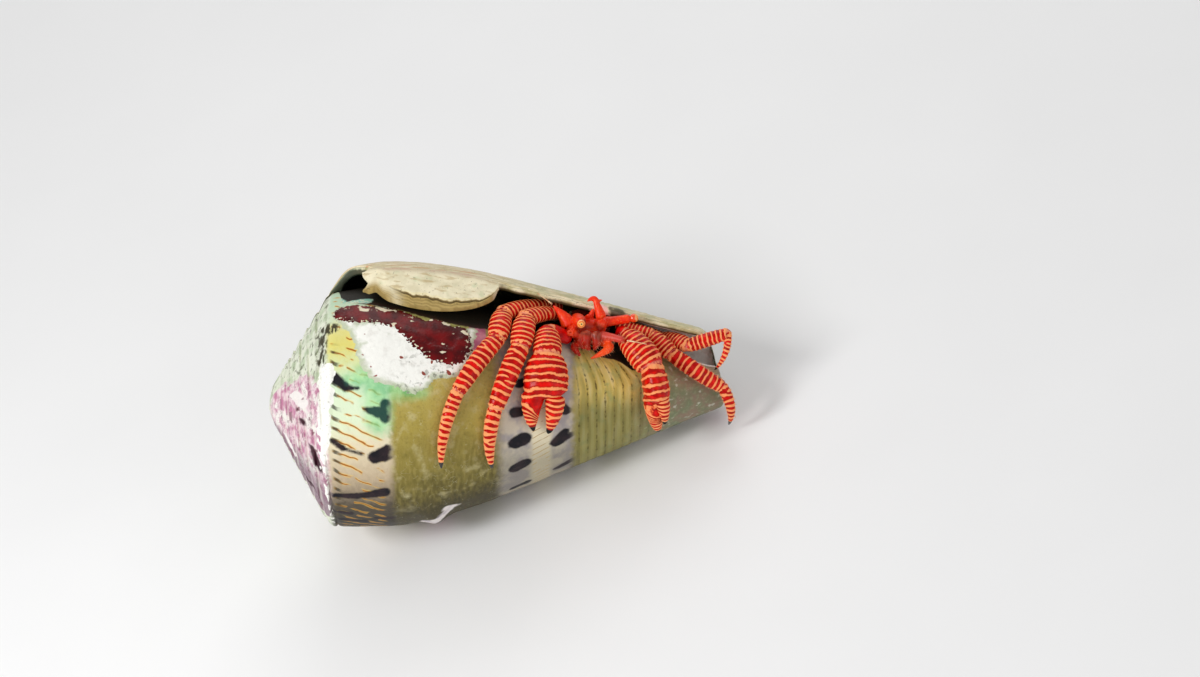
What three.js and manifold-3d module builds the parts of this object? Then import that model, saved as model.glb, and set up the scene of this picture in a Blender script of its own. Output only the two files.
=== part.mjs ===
// A striped hermit crab in the cone shell it lives in, life size, at rest.
//
// Everything is laid out round the axis of the shell, in millimetres. A place is given as
// (x, angle, radius): x runs along the axis from the tip of the spire, angle goes round the
// axis in degrees, and radius is the distance from the axis. The finished group then turns
// the shell so that it lies on its belly and on the end of its mouth.

import * as THREE from 'three';
import { mergeVertices } from 'three/addons/utils/BufferGeometryUtils.js';
import Module from 'manifold-3d';

const wasm = await Module();
wasm.setup();

// ---------------------------------------------------------------- driving dimensions

const PITCH = 15.35; // slope of the shell's axis, mouth end down, degrees
const ROLL = 40; // turn of the shell round its axis, degrees
const FLAT_DEPTH = 0.4; // depth of the flats that the shell rests on

const WHORL_SHRINK = 0.82; // size of one whorl against the one that covers it
const OUTLINE_ANGLE = 40; // angle at which OUTLINE is the surface of the last whorl
const OUTLINE = [
  [14, 27.9],
  [20, 28.1],
  [28, 28.3],
  [40, 26.3],
  [52, 22.9],
  [76, 14.9],
  [88, 10.9],
  [100, 6.9],
  [112, 3.4],
  [135, 2],
]; // radius of the last whorl along the axis, and of the whorls inside it when scaled down
const SPIRE_RADIUS = 2.15; // blunt tip of the spire
const SPIRE_SLOPE = 1.81; // radius gained along the axis on the spire
const SPIRE_SKEW = 0.39; // how much flatter the spire is near the lip
const SPIRE_SKEW_ANGLE = 80; // side on which the spire is flatter
const SHOULDER_ROUNDING = 2;
const END_CENTRE = 76; // the mouth end is rounded about this point of the axis
const END_RADIUS = 15;
const SPIRE_STATIONS = [0.6, 3, 6, 9, 11, 12.5, 14, 15.5, 17, 19];
const BODY_STATIONS = [22, 25.5, 29, 31.8, 34.6, 40, 47, 54, 61, 68, 75, 80, 84, 87, 89, 90.3];
const SHELL_SIDES = 45;
const PEARL_BUMP = { x: 31.8, angle: 278, height: 1.3, length: 2.2, turn: 15 }; // low, on the shoulder

const LIP_ANGLE = 66; // edge of the outer lip
const LIP_NOTCH = 21; // how far the lip is cut back at the shoulder, degrees
const NOTCH_START = 17; // where the lip starts to come forward again, along the axis
const NOTCH_END = 26;
const WALL = 1.7; // thickness of the shell
const HOLLOW_TURN = 285; // how far round the hollow goes behind the lip
const HOLLOW_CLOSING = 40; // degrees in which it closes at its far end
const HOLLOW_REACH = 28; // how far its cutter stands out of the mouth
const HOLLOW_STEPS = 21;
const HOLLOW_STATIONS = [15.6, 16.8, 18.6, 21, 26, 33, 41, 50, 59, 68, 77, 86, 95];

// The plate on the lip: where it starts and ends along the axis, how far it hangs down in the
// middle and at its ends, its thickness at the top and what share of that is left below.
const PLATE = { start: 20.6, end: 47.3, drop: 7.2, ends: [3.6, 0.8], thickness: 1.3, thin: 0.55 };
const PLATE_STATIONS = 10;
const PLATE_STEPS = 4;
const PLATE_TOP = 70; // highest angle of its upper edge
const PLATE_OFFSET = 1.2; // degrees from the edge of the lip
const PLATE_INSET = 0.25; // how far its edge lies below the lip's surface
const PLATE_WRAP = 1.03; // how far it turns round the axis on its way down
const PLATE_LEAN = 0.61; // how far it leans in towards the whorl

const GAP = 0.3; // clearance between neighbouring pieces
const BODY_CLEARANCE = 0.4; // soft body to shell
const LIMB_SIDES = 8;
const SMALL_SIDES = 7;
const FEELER_SIDES = 5;
const LIMB_STEPS = 5;
const JOINT_NECK = 0.8; // width of a segment at its joints, as a share of the whole
const PALM_NECK = 0.88;
const END_NECK = 0.95;
const CLAW_TIP_SHARE = 0.1; // black tip, as a share of the last segment

// Walking legs: the joints from root to tip, each as (x, angle, radius). The width is that of
// the fourth segment, depth is thickness against width, bend bows the last segment along x and
// slim narrows it.
const WALKING_LEGS = {
  right_rear: {
    width: 3.7,
    depth: 0.78,
    bend: -1,
    joints: [[59, 87, 16.2], [47.8, 54, 19.3], [46.5, 33, 19.8], [38.3, 2.5, 22.7], [34, -35.5, 23.7]],
  },
  right_front: {
    width: 4,
    depth: 0.72,
    bend: -0.8,
    joints: [[59, 71.5, 15.8], [52.2, 50, 18.8], [50.9, 27.5, 19.2], [45.3, -7.5, 20.7], [43.8, -43, 21.2]],
  },
  left_front: {
    width: 3.2,
    depth: 0.85,
    bend: 1,
    joints: [[69.8, 68, 13], [76.7, 59.5, 10.9], [80.3, 36.3, 9.4], [89.9, -12, 7.4], [90.8, -84, 8.7]],
  },
  left_rear: {
    width: 3.3,
    depth: 0.74,
    slim: 0.62,
    bend: 0.8,
    joints: [[70.1, 83, 12.7], [78.6, 79, 9], [83.8, 50.5, 9], [91.7, 51, 11.4], [88.6, 16, 6.5]],
  },
};
const LEG_SEGMENTS = [
  { name: 'merus', widths: [0.8, 0.95, 1.1] },
  { name: 'carpus', widths: [0.95, 1.17, 1] },
  { name: 'propodus', widths: [0.98, 1, 0.82] },
  { name: 'dactyl', widths: [0.72, 0.62, 0.34] },
  { name: 'tip', widths: [0.31, 0.24, 0.1] },
];

// Claws: arm, wrist and palm follow on each other, the fixed finger grows out of the palm and
// the movable finger starts at the palm's end. Roll turns the flat of the claw.
const CLAWS = {
  right: {
    roll: 0,
    arm: { path: [[60.8, 43.5, 14.1], [57.2, 43, 16.8]], widths: [2.6, 3.3, 3.6], depth: 0.85 },
    wrist: { path: [[56.2, 41.5, 17.4], [56, 23.5, 17.9]], widths: [4, 5.1, 5], depth: 0.85 },
    palm: { path: [[55.9, 21.5, 18], [55.1, -5, 18.7]], widths: [5.2, 8.6, 8.2], depth: 0.6 },
    fixed: {
      path: [[52.5, -3, 18.8], [52.4, -25, 18.3]],
      widths: [3.6, 2.7, 0.9],
      depth: 0.85,
      bend: -0.8,
    },
    finger: {
      path: [[57.1, -5.2, 18.4], [55.2, -28.5, 17.6]],
      widths: [3.2, 2.7, 0.9],
      depth: 0.85,
      bend: 0.7,
    },
  },
  left: {
    roll: 90,
    arm: { path: [[69.8, 55, 13.1], [71.3, 50.5, 12.9]], widths: [2.8, 3.1, 3.4], depth: 0.9 },
    wrist: { path: [[71.6, 48.5, 12.9], [76.1, 16, 12.9]], widths: [4, 5.2, 4.9], depth: 1.1 },
    palm: { path: [[76.4, 12.5, 13], [77.1, -13.5, 13.4]], widths: [5, 7.8, 7], depth: 0.68 },
    fixed: { path: [[76.5, -9, 12], [77.2, -54, 11.6]], widths: [3.4, 2.9, 0.9], depth: 1, bend: -0.5 },
    finger: { path: [[77.9, -17, 15.1], [78.3, -41, 14.2]], widths: [3, 2.6, 0.9], depth: 1, bend: 0.7 },
  },
};

// Pieces of the head, as paths of (x, angle, radius) with their widths from base to tip.
const FACE = {
  eyestalk_right: { path: [[62.2, 63, 15], [62.9, 45.5, 17.8]], widths: [2.1, 1.7, 1.6] },
  eyestalk_left: { path: [[66.2, 57.6, 14.9], [72.9, 56.2, 15.7]], widths: [2, 1.65, 1.6] },
  antennule_right: { path: [[64.6, 61, 15], [65.6, 62.5, 17.4]], widths: [1.5, 1.1, 0.7] },
  antennule_left: {
    path: [[67.2, 51.5, 17], [66.5, 56.5, 18.8], [66.2, 59.2, 20.1]],
    widths: [1.7, 1.4, 1.2],
  },
  antenna_right: {
    path: [[60.5, 56.2, 15.2], [59.3, 58, 17], [57.8, 59.8, 19]],
    widths: [2.2, 1.8, 0.9],
  },
  antenna_left: { path: [[66.6, 44.5, 14.4], [71.2, 34.5, 15.6]], widths: [1.8, 1.6, 1.2] },
  maxilliped_right: {
    path: [[62.1, 39.5, 13.4], [61.4, 34.5, 13.9], [62.5, 28, 13.4]],
    widths: [1.6, 1.5, 0.9],
  },
  maxilliped_left: {
    path: [[67.3, 39.5, 12.9], [67.9, 32, 13.8], [64.3, 25.5, 13.2]],
    widths: [1.6, 1.5, 0.9],
  },
};
const FEELERS = {
  right: [[57.6, 60.2, 19.4], [54.7, 62.8, 21.7]],
  left: [[71.7, 33.6, 15.8], [75.6, 26.5, 17.4]],
};
const FEELER_WIDTHS = [0.55, 0.5, 0.5];
const EYE_LENGTH = 1.15;
const EYE_WIDTH = 1.75;
const EYE_RINGS = [[0.1, 0.82], [0.45, 1], [0.8, 0.75]]; // share of its length, share of its width

// The flattened body between the whorls, from front to back: its ends as angles, its two sides
// as x, and how much of the height between the walls it fills.
const BODY = {
  head: { angles: [43, 63.5], left: [68.2, 68.6], right: [61.4, 61.2], fill: [0.45, 0.62] },
  shield: { angles: [65, 84], left: [68.6, 68.9], right: [61, 60.8], fill: [0.9, 1] },
  thorax: { angles: [86, 122], left: [69, 68], right: [60.8, 59.5], fill: [1, 1] },
  abdomen_front: { angles: [124, 196], left: [68, 66], right: [59.5, 54], fill: [1, 1] },
  abdomen_rear: { angles: [198, 256], left: [66, 58], right: [54, 50], fill: [1, 0.95] },
  tail_fan: { angles: [258, 276], left: [57.5, 56], right: [50.5, 51.5], fill: [0.9, 0.6] },
};
const BODY_SIDES = 12;
const BODY_STEP = 13; // degrees between rings of the body

// Short rear legs that hold the shell from inside, as (x, angle) from root to tip.
const INNER_LEGS = {
  leg_right_fourth: [[59, 97], [54.5, 92]],
  leg_right_fifth: [[58.4, 110], [54, 108]],
  leg_left_fourth: [[70.4, 97], [74.5, 92]],
  leg_left_fifth: [[69.6, 110], [73.5, 108]],
};
const INNER_LEG_WIDTHS = [1.9, 1.9, 1.1];

const COLOURS = {
  shell: 0x8f8a4e,
  plate: 0xd8cda0,
  leg: 0xb3160f,
  claw: 0xc4200f,
  tip: 0x16110f,
  face: 0xf2461a,
  eye: 0xf59a3a,
  feeler: 0xe8c9a0,
  body: 0xd9b48c,
};

// ---------------------------------------------------------------- small helpers

const { degToRad, radToDeg, lerp, clamp, smoothstep } = THREE.MathUtils;

function softMin(a, b, width) {
  return 0.5 * (a + b - Math.hypot(a - b, width));
}

// A value at t (0 to 1) on the smooth line through three values.
function through([start, middle, end], t) {
  const bulge = middle - (start + end) / 2;
  return lerp(start, end, t) + 4 * bulge * t * (1 - t);
}

function place(x, angle, radius) {
  const a = degToRad(angle);
  return new THREE.Vector3(x, -radius * Math.cos(a), radius * Math.sin(a));
}

// ---------------------------------------------------------------- the shell's surface

const outlineCurve = new THREE.SplineCurve(OUTLINE.map(([x, r]) => new THREE.Vector2(x, r)));
const outlinePoints = outlineCurve.getPoints(200);

function outlineRadius(x) {
  const next = outlinePoints.findIndex((point) => point.x > x);
  if (next < 1) {
    return next === 0 ? OUTLINE[0][1] : OUTLINE.at(-1)[1];
  }
  const a = outlinePoints[next - 1];
  const b = outlinePoints[next];
  return lerp(a.y, b.y, (x - a.x) / (b.x - a.x));
}

function spireRadius(x, angle) {
  const lean = Math.cos(degToRad(angle - SPIRE_SKEW_ANGLE));
  const tip = SPIRE_RADIUS * (1 + SPIRE_SKEW * lean);
  return tip * Math.sqrt(clamp(x, 0, 1)) + (SPIRE_SLOPE - SPIRE_SKEW * lean) * x;
}

// The last whorl is a spiral: it shrinks by WHORL_SHRINK with each turn of the angle.
function whorlRadius(x, angle, inset = 0) {
  const scale = WHORL_SHRINK ** ((angle - OUTLINE_ANGLE) / 360);
  const side = scale * outlineRadius(x / scale) - inset;
  return softMin(spireRadius(x - 1.15 * inset, angle), side, SHOULDER_ROUNDING);
}

function lipAngle(x) {
  return LIP_ANGLE + LIP_NOTCH * (1 - smoothstep(x, NOTCH_START, NOTCH_END));
}

// The outer surface with its bump, rounded off at the mouth end.
function outerRadius(x, angle) {
  const along = (x - PEARL_BUMP.x) / PEARL_BUMP.length;
  const round = (angle - PEARL_BUMP.angle) / PEARL_BUMP.turn;
  const radius = whorlRadius(x, angle) + PEARL_BUMP.height * Math.exp(-(along ** 2) - round ** 2);
  if (x <= END_CENTRE) {
    return radius;
  }
  return softMin(radius, Math.sqrt(END_RADIUS ** 2 - (x - END_CENTRE) ** 2), 0.4);
}

// Radius of the wall that the crab sits on, inside the mouth and in front of it.
function seatRadius(x, angle) {
  return whorlRadius(x, angle + 360);
}

// ---------------------------------------------------------------- solids

// A closed solid from points and triangles, whichever way round its rings were listed.
function toSolid(points, triangles) {
  const geometry = new THREE.BufferGeometry().setFromPoints(points);
  geometry.setIndex(triangles);
  const merged = mergeVertices(geometry);
  const vertProperties = merged.attributes.position.array;
  const triVerts = Uint32Array.from(merged.index.array);
  const solid = new wasm.Manifold(new wasm.Mesh({ numProp: 3, vertProperties, triVerts }));
  if (solid.volume() > 0) {
    return solid;
  }
  return new wasm.Manifold(new wasm.Mesh({ numProp: 3, vertProperties, triVerts: triVerts.reverse() }));
}

// Closed rings of equal count, each one joined to the next, with a point at each end.
function loft(rings, firstPole, lastPole) {
  const count = rings[0].length;
  const points = [...rings.flat(), firstPole, lastPole];
  const first = points.length - 2;
  const last = points.length - 1;
  const lastRow = (rings.length - 1) * count;
  const triangles = [];
  for (let j = 0; j < count; j++) {
    const k = (j + 1) % count;
    triangles.push(first, k, j);
    triangles.push(last, lastRow + j, lastRow + k);
    for (let row = 0; row < lastRow; row += count) {
      triangles.push(row + j, row + k, row + count + k);
      triangles.push(row + j, row + count + k, row + count + j);
    }
  }
  return toSolid(points, triangles);
}

// A thick sheet between two grids of points: sheet(i, j, side), side 1 outside and 0 inside.
function thickSheet(rows, columns, sheet) {
  const rings = [];
  for (let i = 0; i < rows; i++) {
    const outside = Array.from({ length: columns }, (_, j) => sheet(i, j, 1));
    const inside = Array.from({ length: columns }, (_, j) => sheet(i, columns - 1 - j, 0));
    rings.push([...outside, ...inside]);
  }
  const count = 2 * columns;
  const points = rings.flat();
  const triangles = [];
  for (let j = 0; j < count; j++) {
    const k = (j + 1) % count;
    for (let row = 0; row < (rows - 1) * count; row += count) {
      triangles.push(row + j, row + k, row + count + k);
      triangles.push(row + j, row + count + k, row + count + j);
    }
  }
  const end = (rows - 1) * count;
  for (let j = 0; j < columns - 1; j++) {
    const k = count - 1 - j;
    triangles.push(j, k, k - 1, j, k - 1, j + 1);
    triangles.push(end + j, end + k - 1, end + k, end + j, end + j + 1, end + k - 1);
  }
  return toSolid(points, triangles);
}

function toMesh(name, solid, color, roughness) {
  const { vertProperties, triVerts } = solid.getMesh();
  const geometry = new THREE.BufferGeometry();
  geometry.setAttribute('position', new THREE.BufferAttribute(vertProperties, 3));
  geometry.setIndex(new THREE.BufferAttribute(triVerts, 1));
  geometry.computeVertexNormals();
  const material = new THREE.MeshStandardMaterial({ color, roughness, metalness: 0 });
  const mesh = new THREE.Mesh(geometry, material);
  mesh.name = name;
  return mesh;
}

function middleOf(ring) {
  return ring.reduce((sum, point) => sum.add(point), new THREE.Vector3()).divideScalar(ring.length);
}

// ---------------------------------------------------------------- shell and lip plate

function shellBody() {
  const stations = [...SPIRE_STATIONS, ...BODY_STATIONS];
  const rings = stations.map((x) =>
    Array.from({ length: SHELL_SIDES + 1 }, (_, j) => {
      const angle = lipAngle(x) + (360 * j) / SHELL_SIDES;
      return place(x, angle, outerRadius(x, angle));
    }),
  );
  return loft(rings, place(0, 0, 0), place(END_CENTRE + END_RADIUS - 0.2, 0, 0));
}

function shellHollow() {
  const sweep = HOLLOW_REACH + HOLLOW_TURN;
  return thickSheet(HOLLOW_STATIONS.length, HOLLOW_STEPS + 1, (i, j, side) => {
    const x = HOLLOW_STATIONS[i];
    const angle = lipAngle(x) - HOLLOW_REACH + (sweep * j) / HOLLOW_STEPS;
    const inner = seatRadius(x, angle) + 0.05;
    const outer = Math.max(whorlRadius(x, angle, WALL), inner + 0.3);
    const closing = smoothstep(sweep - (sweep * j) / HOLLOW_STEPS, 0, HOLLOW_CLOSING);
    return place(x, angle, side ? lerp(inner + 0.6, outer, closing) : inner);
  });
}

// Everything below the floor, in the shell's own coordinates.
function belowFloor(toWorld) {
  const size = 400;
  const block = new THREE.BoxGeometry(size, size, size).translate(0, 0, -size / 2);
  block.applyMatrix4(toWorld.clone().invert());
  block.deleteAttribute('normal');
  block.deleteAttribute('uv');
  const merged = mergeVertices(block);
  const position = merged.attributes.position;
  const corner = (_, i) => new THREE.Vector3().fromBufferAttribute(position, i);
  return toSolid(Array.from({ length: position.count }, corner), Array.from(merged.index.array));
}

// A crust that hangs from the edge of the lip over the mouth, like a lens.
function lipPlate() {
  const { start, end, drop, ends, thickness, thin } = PLATE;
  return thickSheet(PLATE_STATIONS + 1, PLATE_STEPS + 1, (i, j, side) => {
    const along = i / PLATE_STATIONS;
    const x = lerp(start, end, along);
    const reach = Math.max(drop * (1 - (2 * along - 1) ** 2) ** 0.6, lerp(...ends, along));
    const edge = whorlRadius(x, lipAngle(x));
    const down = (reach * (PLATE_STEPS - j)) / PLATE_STEPS;
    const top = Math.min(lipAngle(x), PLATE_TOP) - PLATE_OFFSET;
    const angle = top - PLATE_WRAP * radToDeg(down / edge);
    const layer = thickness * lerp(1, thin, down / drop);
    const radius = edge - PLATE_INSET - PLATE_LEAN * down + (side - 1) * layer;
    const lowest = seatRadius(x, angle) + BODY_CLEARANCE + side * layer;
    return place(x, angle, Math.max(radius, lowest));
  });
}

// ---------------------------------------------------------------- limbs

// The point at t (0 to 1) of a path of two or three places. It runs through all of them, as
// seen round the axis, and bend bows it along the axis.
function followPath(path, t, bend = 0) {
  const [x, angle, radius] = path[0].map((start, axis) => {
    const end = path.at(-1)[axis];
    return path.length === 3 ? through([start, path[1][axis], end], t) : lerp(start, end, t);
  });
  return place(x + 4 * bend * t * (1 - t), angle, radius);
}

function pathLength(path) {
  let length = 0;
  for (let i = 0; i < 12; i++) {
    length += followPath(path, i / 12).distanceTo(followPath(path, (i + 1) / 12));
  }
  return length;
}

// One segment: oval rings along a path, a little narrower at its two joints.
// Grown, it stands out by that much all round, to cut a neighbour free of it.
function limb(shape) {
  const { path, widths, depth = 1, bend = 0, roll = 0, grown = 0 } = shape;
  const { range = [0, 1], sides = LIMB_SIDES, neck = JOINT_NECK } = shape;
  const rings = [];
  const trim = (0.6 * GAP - grown) / pathLength(path);
  const [from, to] = [range[0] + trim, range[1] - trim];
  for (let i = 0; i <= LIMB_STEPS; i++) {
    const share = i / LIMB_STEPS;
    const t = lerp(from, to, share);
    const centre = followPath(path, t, bend);
    const ahead = followPath(path, t + 0.02, bend);
    const behind = followPath(path, t - 0.02, bend);
    const tangent = ahead.sub(behind).normalize();
    const out = new THREE.Vector3(0, centre.y, centre.z).normalize();
    const across = new THREE.Vector3().crossVectors(out, tangent).normalize();
    across.applyAxisAngle(tangent, degToRad(roll));
    const up = new THREE.Vector3().crossVectors(tangent, across);
    const toEnd = Math.min(share, 1 - share);
    const half = (through(widths, share) / 2) * lerp(neck, 1, smoothstep(toEnd, -0.02, 0.25)) + grown;
    rings.push(
      Array.from({ length: sides }, (_, j) => {
        const a = (2 * Math.PI * (j + 0.5)) / sides;
        return centre
          .clone()
          .addScaledVector(across, half * Math.cos(a))
          .addScaledVector(up, (half * depth + grown * (1 - depth)) * Math.sin(a));
      }),
    );
  }
  return loft(rings, middleOf(rings[0]), middleOf(rings.at(-1)));
}

// A segment, cut clear of the one that it follows.
function after(shape, previous) {
  return previous ? limb(shape).subtract(limb({ ...previous, grown: GAP })) : limb(shape);
}

function walkingLeg(side, { width, depth, bend, joints, slim = 1 }) {
  const lastJoint = joints.length - 2;
  const tipStart = 1 - CLAW_TIP_SHARE;
  const ranges = { dactyl: [0, tipStart], tip: [tipStart, 1] };
  let previous = null;
  return LEG_SEGMENTS.map(({ name, widths }, index) => {
    const start = Math.min(index, lastJoint);
    const shape = {
      path: [joints[start], joints[start + 1]],
      widths: widths.map((share) => share * width * (start === lastJoint ? slim : 1)),
      depth,
      bend: start === lastJoint ? bend : 0,
      range: ranges[name],
      neck: start === lastJoint ? END_NECK : JOINT_NECK,
    };
    const solid = after(shape, previous);
    previous = shape;
    return toMesh(`leg_${side}_${name}`, solid, name === 'tip' ? COLOURS.tip : COLOURS.leg, 0.35);
  });
}

function claw(side, { roll, ...parts }) {
  const arm = { ...parts.arm, roll };
  const wrist = { ...parts.wrist, roll };
  const palm = { ...parts.palm, roll, neck: PALM_NECK };
  const fixed = { ...parts.fixed, roll, neck: PALM_NECK };
  const finger = { ...parts.finger, roll, neck: PALM_NECK };
  const solids = {
    arm: limb(arm),
    wrist: after(wrist, arm),
    palm: after(palm, wrist).add(limb(fixed)),
    finger: after(finger, palm).subtract(limb({ ...fixed, grown: GAP })),
  };
  return Object.entries(solids).map(([name, solid]) => {
    return toMesh(`claw_${side}_${name}`, solid, COLOURS.claw, 0.35);
  });
}

// The ball of an eye, on the end of its stalk.
function eye({ path: [base, end] }) {
  const start = place(...end);
  const forward = start.clone().sub(place(...base)).normalize();
  const side = new THREE.Vector3().crossVectors(forward, new THREE.Vector3(0, 0, 1)).normalize();
  const up = new THREE.Vector3().crossVectors(side, forward);
  const onAxis = (along) => start.clone().addScaledVector(forward, GAP + along * EYE_LENGTH);
  const rings = EYE_RINGS.map(([along, size]) =>
    Array.from({ length: LIMB_SIDES }, (_, j) => {
      const a = (2 * Math.PI * j) / LIMB_SIDES;
      return onAxis(along)
        .addScaledVector(side, (-size * Math.cos(a) * EYE_WIDTH) / 2)
        .addScaledVector(up, (size * Math.sin(a) * EYE_WIDTH) / 2);
    }),
  );
  return loft(rings, onAxis(0), onAxis(1));
}

// ---------------------------------------------------------------- body between the whorls

function bodyPart({ angles, left, right, fill }) {
  const steps = Math.max(2, Math.round((angles[1] - angles[0]) / BODY_STEP));
  const ringAt = (t) => {
    const angle = lerp(angles[0], angles[1], t);
    const ends = lerp(0.72, 1, smoothstep(Math.min(t, 1 - t), 0, 0.4));
    const centre = (lerp(...left, t) + lerp(...right, t)) / 2;
    const half = ((lerp(...left, t) - lerp(...right, t)) / 2) * ends;
    return Array.from({ length: BODY_SIDES }, (_, j) => {
      const a = (2 * Math.PI * j) / BODY_SIDES;
      const x = centre + half * Math.sign(Math.cos(a)) * Math.abs(Math.cos(a)) ** 0.8;
      const floor = seatRadius(x, angle) + BODY_CLEARANCE;
      const roof = whorlRadius(x, angle) - WALL - BODY_CLEARANCE;
      const height = 0.5 + 0.5 * ends * Math.sin(a);
      return place(x, angle, lerp(floor, roof, height * lerp(...fill, t)));
    });
  };
  const rings = Array.from({ length: steps + 1 }, (_, i) => ringAt(i / steps));
  return loft(rings, middleOf(rings[0]), middleOf(rings.at(-1)));
}

function innerLeg(ends) {
  const midway = (x, angle) => (seatRadius(x, angle) + whorlRadius(x, angle) - WALL) / 2;
  const path = ends.map(([x, angle]) => [x, angle, midway(x, angle)]);
  return limb({ path, widths: INNER_LEG_WIDTHS, depth: 0.8, sides: SMALL_SIDES });
}

// ---------------------------------------------------------------- assembly

const crab = new THREE.Group();
crab.rotation.set(degToRad(-ROLL), degToRad(PITCH), 0, 'YXZ');
crab.updateMatrix();

const wholeShell = shellBody().subtract(shellHollow());
const wholeMesh = toMesh('shell', wholeShell, COLOURS.shell, 0.6);
wholeMesh.geometry.applyMatrix4(crab.matrix);
crab.position.z = -new THREE.Box3().setFromObject(wholeMesh, true).min.z - FLAT_DEPTH;
crab.updateMatrix();

crab.add(toMesh('shell', wholeShell.subtract(belowFloor(crab.matrix)), COLOURS.shell, 0.6));
crab.add(toMesh('lip_plate', lipPlate(), COLOURS.plate, 0.7));
for (const [side, leg] of Object.entries(WALKING_LEGS)) {
  crab.add(...walkingLeg(side, leg));
}
for (const [side, parts] of Object.entries(CLAWS)) {
  crab.add(...claw(side, parts));
}
for (const [name, piece] of Object.entries(FACE)) {
  crab.add(toMesh(name, limb({ ...piece, sides: SMALL_SIDES }), COLOURS.face, 0.4));
}
for (const [side, path] of Object.entries(FEELERS)) {
  const feeler = limb({ path, widths: FEELER_WIDTHS, sides: FEELER_SIDES });
  crab.add(toMesh(`feeler_${side}`, feeler, COLOURS.feeler, 0.4));
  crab.add(toMesh(`eye_${side}`, eye(FACE[`eyestalk_${side}`]), COLOURS.eye, 0.15));
}
for (const [name, part] of Object.entries(BODY)) {
  crab.add(toMesh(name, bodyPart(part), name === 'head' ? COLOURS.face : COLOURS.body, 0.5));
}
for (const [name, ends] of Object.entries(INNER_LEGS)) {
  crab.add(toMesh(name, innerLeg(ends), COLOURS.body, 0.5));
}

const object = new THREE.Group();
object.add(crab);
object.updateMatrixWorld(true);
const centre = new THREE.Box3().setFromObject(object, true).getCenter(new THREE.Vector3());
crab.position.x -= centre.x;
crab.position.y -= centre.y;

export default object;
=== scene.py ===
"""A striped hermit crab looking out of its old cone shell, life size, on a pale floor.

Shapes are laid out round the axis of the shell, in millimetres: a place is (along, spin,
radius), where along runs from the tip of the spire, spin goes round the axis in degrees and
radius is the distance from it. They are turned and moved onto the solids at the end.
"""

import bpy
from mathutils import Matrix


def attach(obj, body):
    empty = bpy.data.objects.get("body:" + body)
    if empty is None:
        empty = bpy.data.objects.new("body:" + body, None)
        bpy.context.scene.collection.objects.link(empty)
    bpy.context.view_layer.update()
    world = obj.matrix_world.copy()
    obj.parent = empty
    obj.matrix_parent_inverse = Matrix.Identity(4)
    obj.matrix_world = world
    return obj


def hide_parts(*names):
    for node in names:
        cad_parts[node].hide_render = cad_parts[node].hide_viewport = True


bl_info = {
    "name": "Hermit Crab in a Cone Shell",
    "version": (1, 0, 0),
    "blender": (4, 5, 0),
    "location": "View3D > Sidebar > Hermit Crab",
    "description": "Dresses the solids of a hermit crab and of the cone shell it lives in",
    "category": "Object",
}

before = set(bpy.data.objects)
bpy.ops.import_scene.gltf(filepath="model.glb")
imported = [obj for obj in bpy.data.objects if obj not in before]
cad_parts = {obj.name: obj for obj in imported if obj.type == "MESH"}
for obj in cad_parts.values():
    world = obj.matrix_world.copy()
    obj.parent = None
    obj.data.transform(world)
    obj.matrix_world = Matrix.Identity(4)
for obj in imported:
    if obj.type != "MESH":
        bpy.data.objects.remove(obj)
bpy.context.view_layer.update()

import math
from dataclasses import dataclass
from functools import cached_property

import bmesh
import bpy
import numpy as np
from mathutils import Color, Matrix, Vector, noise

MM = 0.001
FULL_TURN = 2 * math.pi

# ---------------------------------------------------------------- where the shell lies

PITCH = math.radians(15.35)  # slope of its axis, mouth end down
ROLL = math.radians(40)  # turn round its axis
TURN = np.array(Matrix.Rotation(PITCH, 3, "Y") @ Matrix.Rotation(-ROLL, 3, "X"))


def spire_tip():
    """Where the tip of the spire is in the model: the shell's lowest place along its axis."""
    corners = np.array([v.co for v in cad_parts["shell"].data.vertices])
    return corners[np.argmin((corners @ TURN)[:, 0])]


SPIRE_TIP = spire_tip()

# ---------------------------------------------------------------- the shell's form, in mm

WHORL_SHRINK = 0.82  # from one turn to the one before it
OUTLINE_SPIN = 40
OUTLINE = [
    (14, 27.9), (20, 28.1), (28, 28.3), (40, 26.3), (52, 22.9),
    (76, 14.9), (88, 10.9), (100, 6.9), (112, 3.4), (135, 2),
]
SPIRE_RADIUS = 2.15
SPIRE_SLOPE = 1.81
SPIRE_SKEW = 0.39
SPIRE_SKEW_SPIN = 80
SHOULDER_ROUNDING = 2
INSET_SHIFT = 1.15  # how far an inner surface moves along for a mm of wall
BUMP_HEIGHT = 1.3
BUMP_ALONG, BUMP_LENGTH = 31.8, 2.2
BUMP_SPIN, BUMP_WIDTH = 278, 15
END_CENTRE = 76
END_RADIUS = 15
END_ROUNDING = 0.4
SHELL_END = 90.3
LIP_SPIN = 66
LIP_NOTCH = 21
LIP_NOTCH_ENDS = (17, 26)
WALL = 1.7
HOLLOW_START = 15.6
HOLLOW_TURN = 285
HOLLOW_CLOSING = 40
RIM_START = 78  # from here on the wall is shortened to its rim


def lerp(start, end, t):
    return start + (end - start) * t


def ease(value, low=0.0, high=1.0):
    """0 below low, 1 above high and smooth between."""
    t = np.clip((value - low) / (high - low), 0, 1)
    return t * t * (3 - 2 * t)


def bell(value, width):
    return np.exp(-((value / width) ** 2))


def soft_min(a, b, width):
    return 0.5 * (a + b - np.hypot(a - b, width))


def unit(vectors):
    return vectors / np.linalg.norm(vectors, axis=-1, keepdims=True)


def round_trip(count):
    """Angles round a circle."""
    return FULL_TURN * np.arange(count) / count


def through(values, t):
    """The smooth line through two or three values, at t from 0 to 1."""
    start, *middle, end = values
    line = lerp(start, end, t)
    for value in middle:
        line = line + 4 * (value - (start + end) / 2) * t * (1 - t)
    return line


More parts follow.
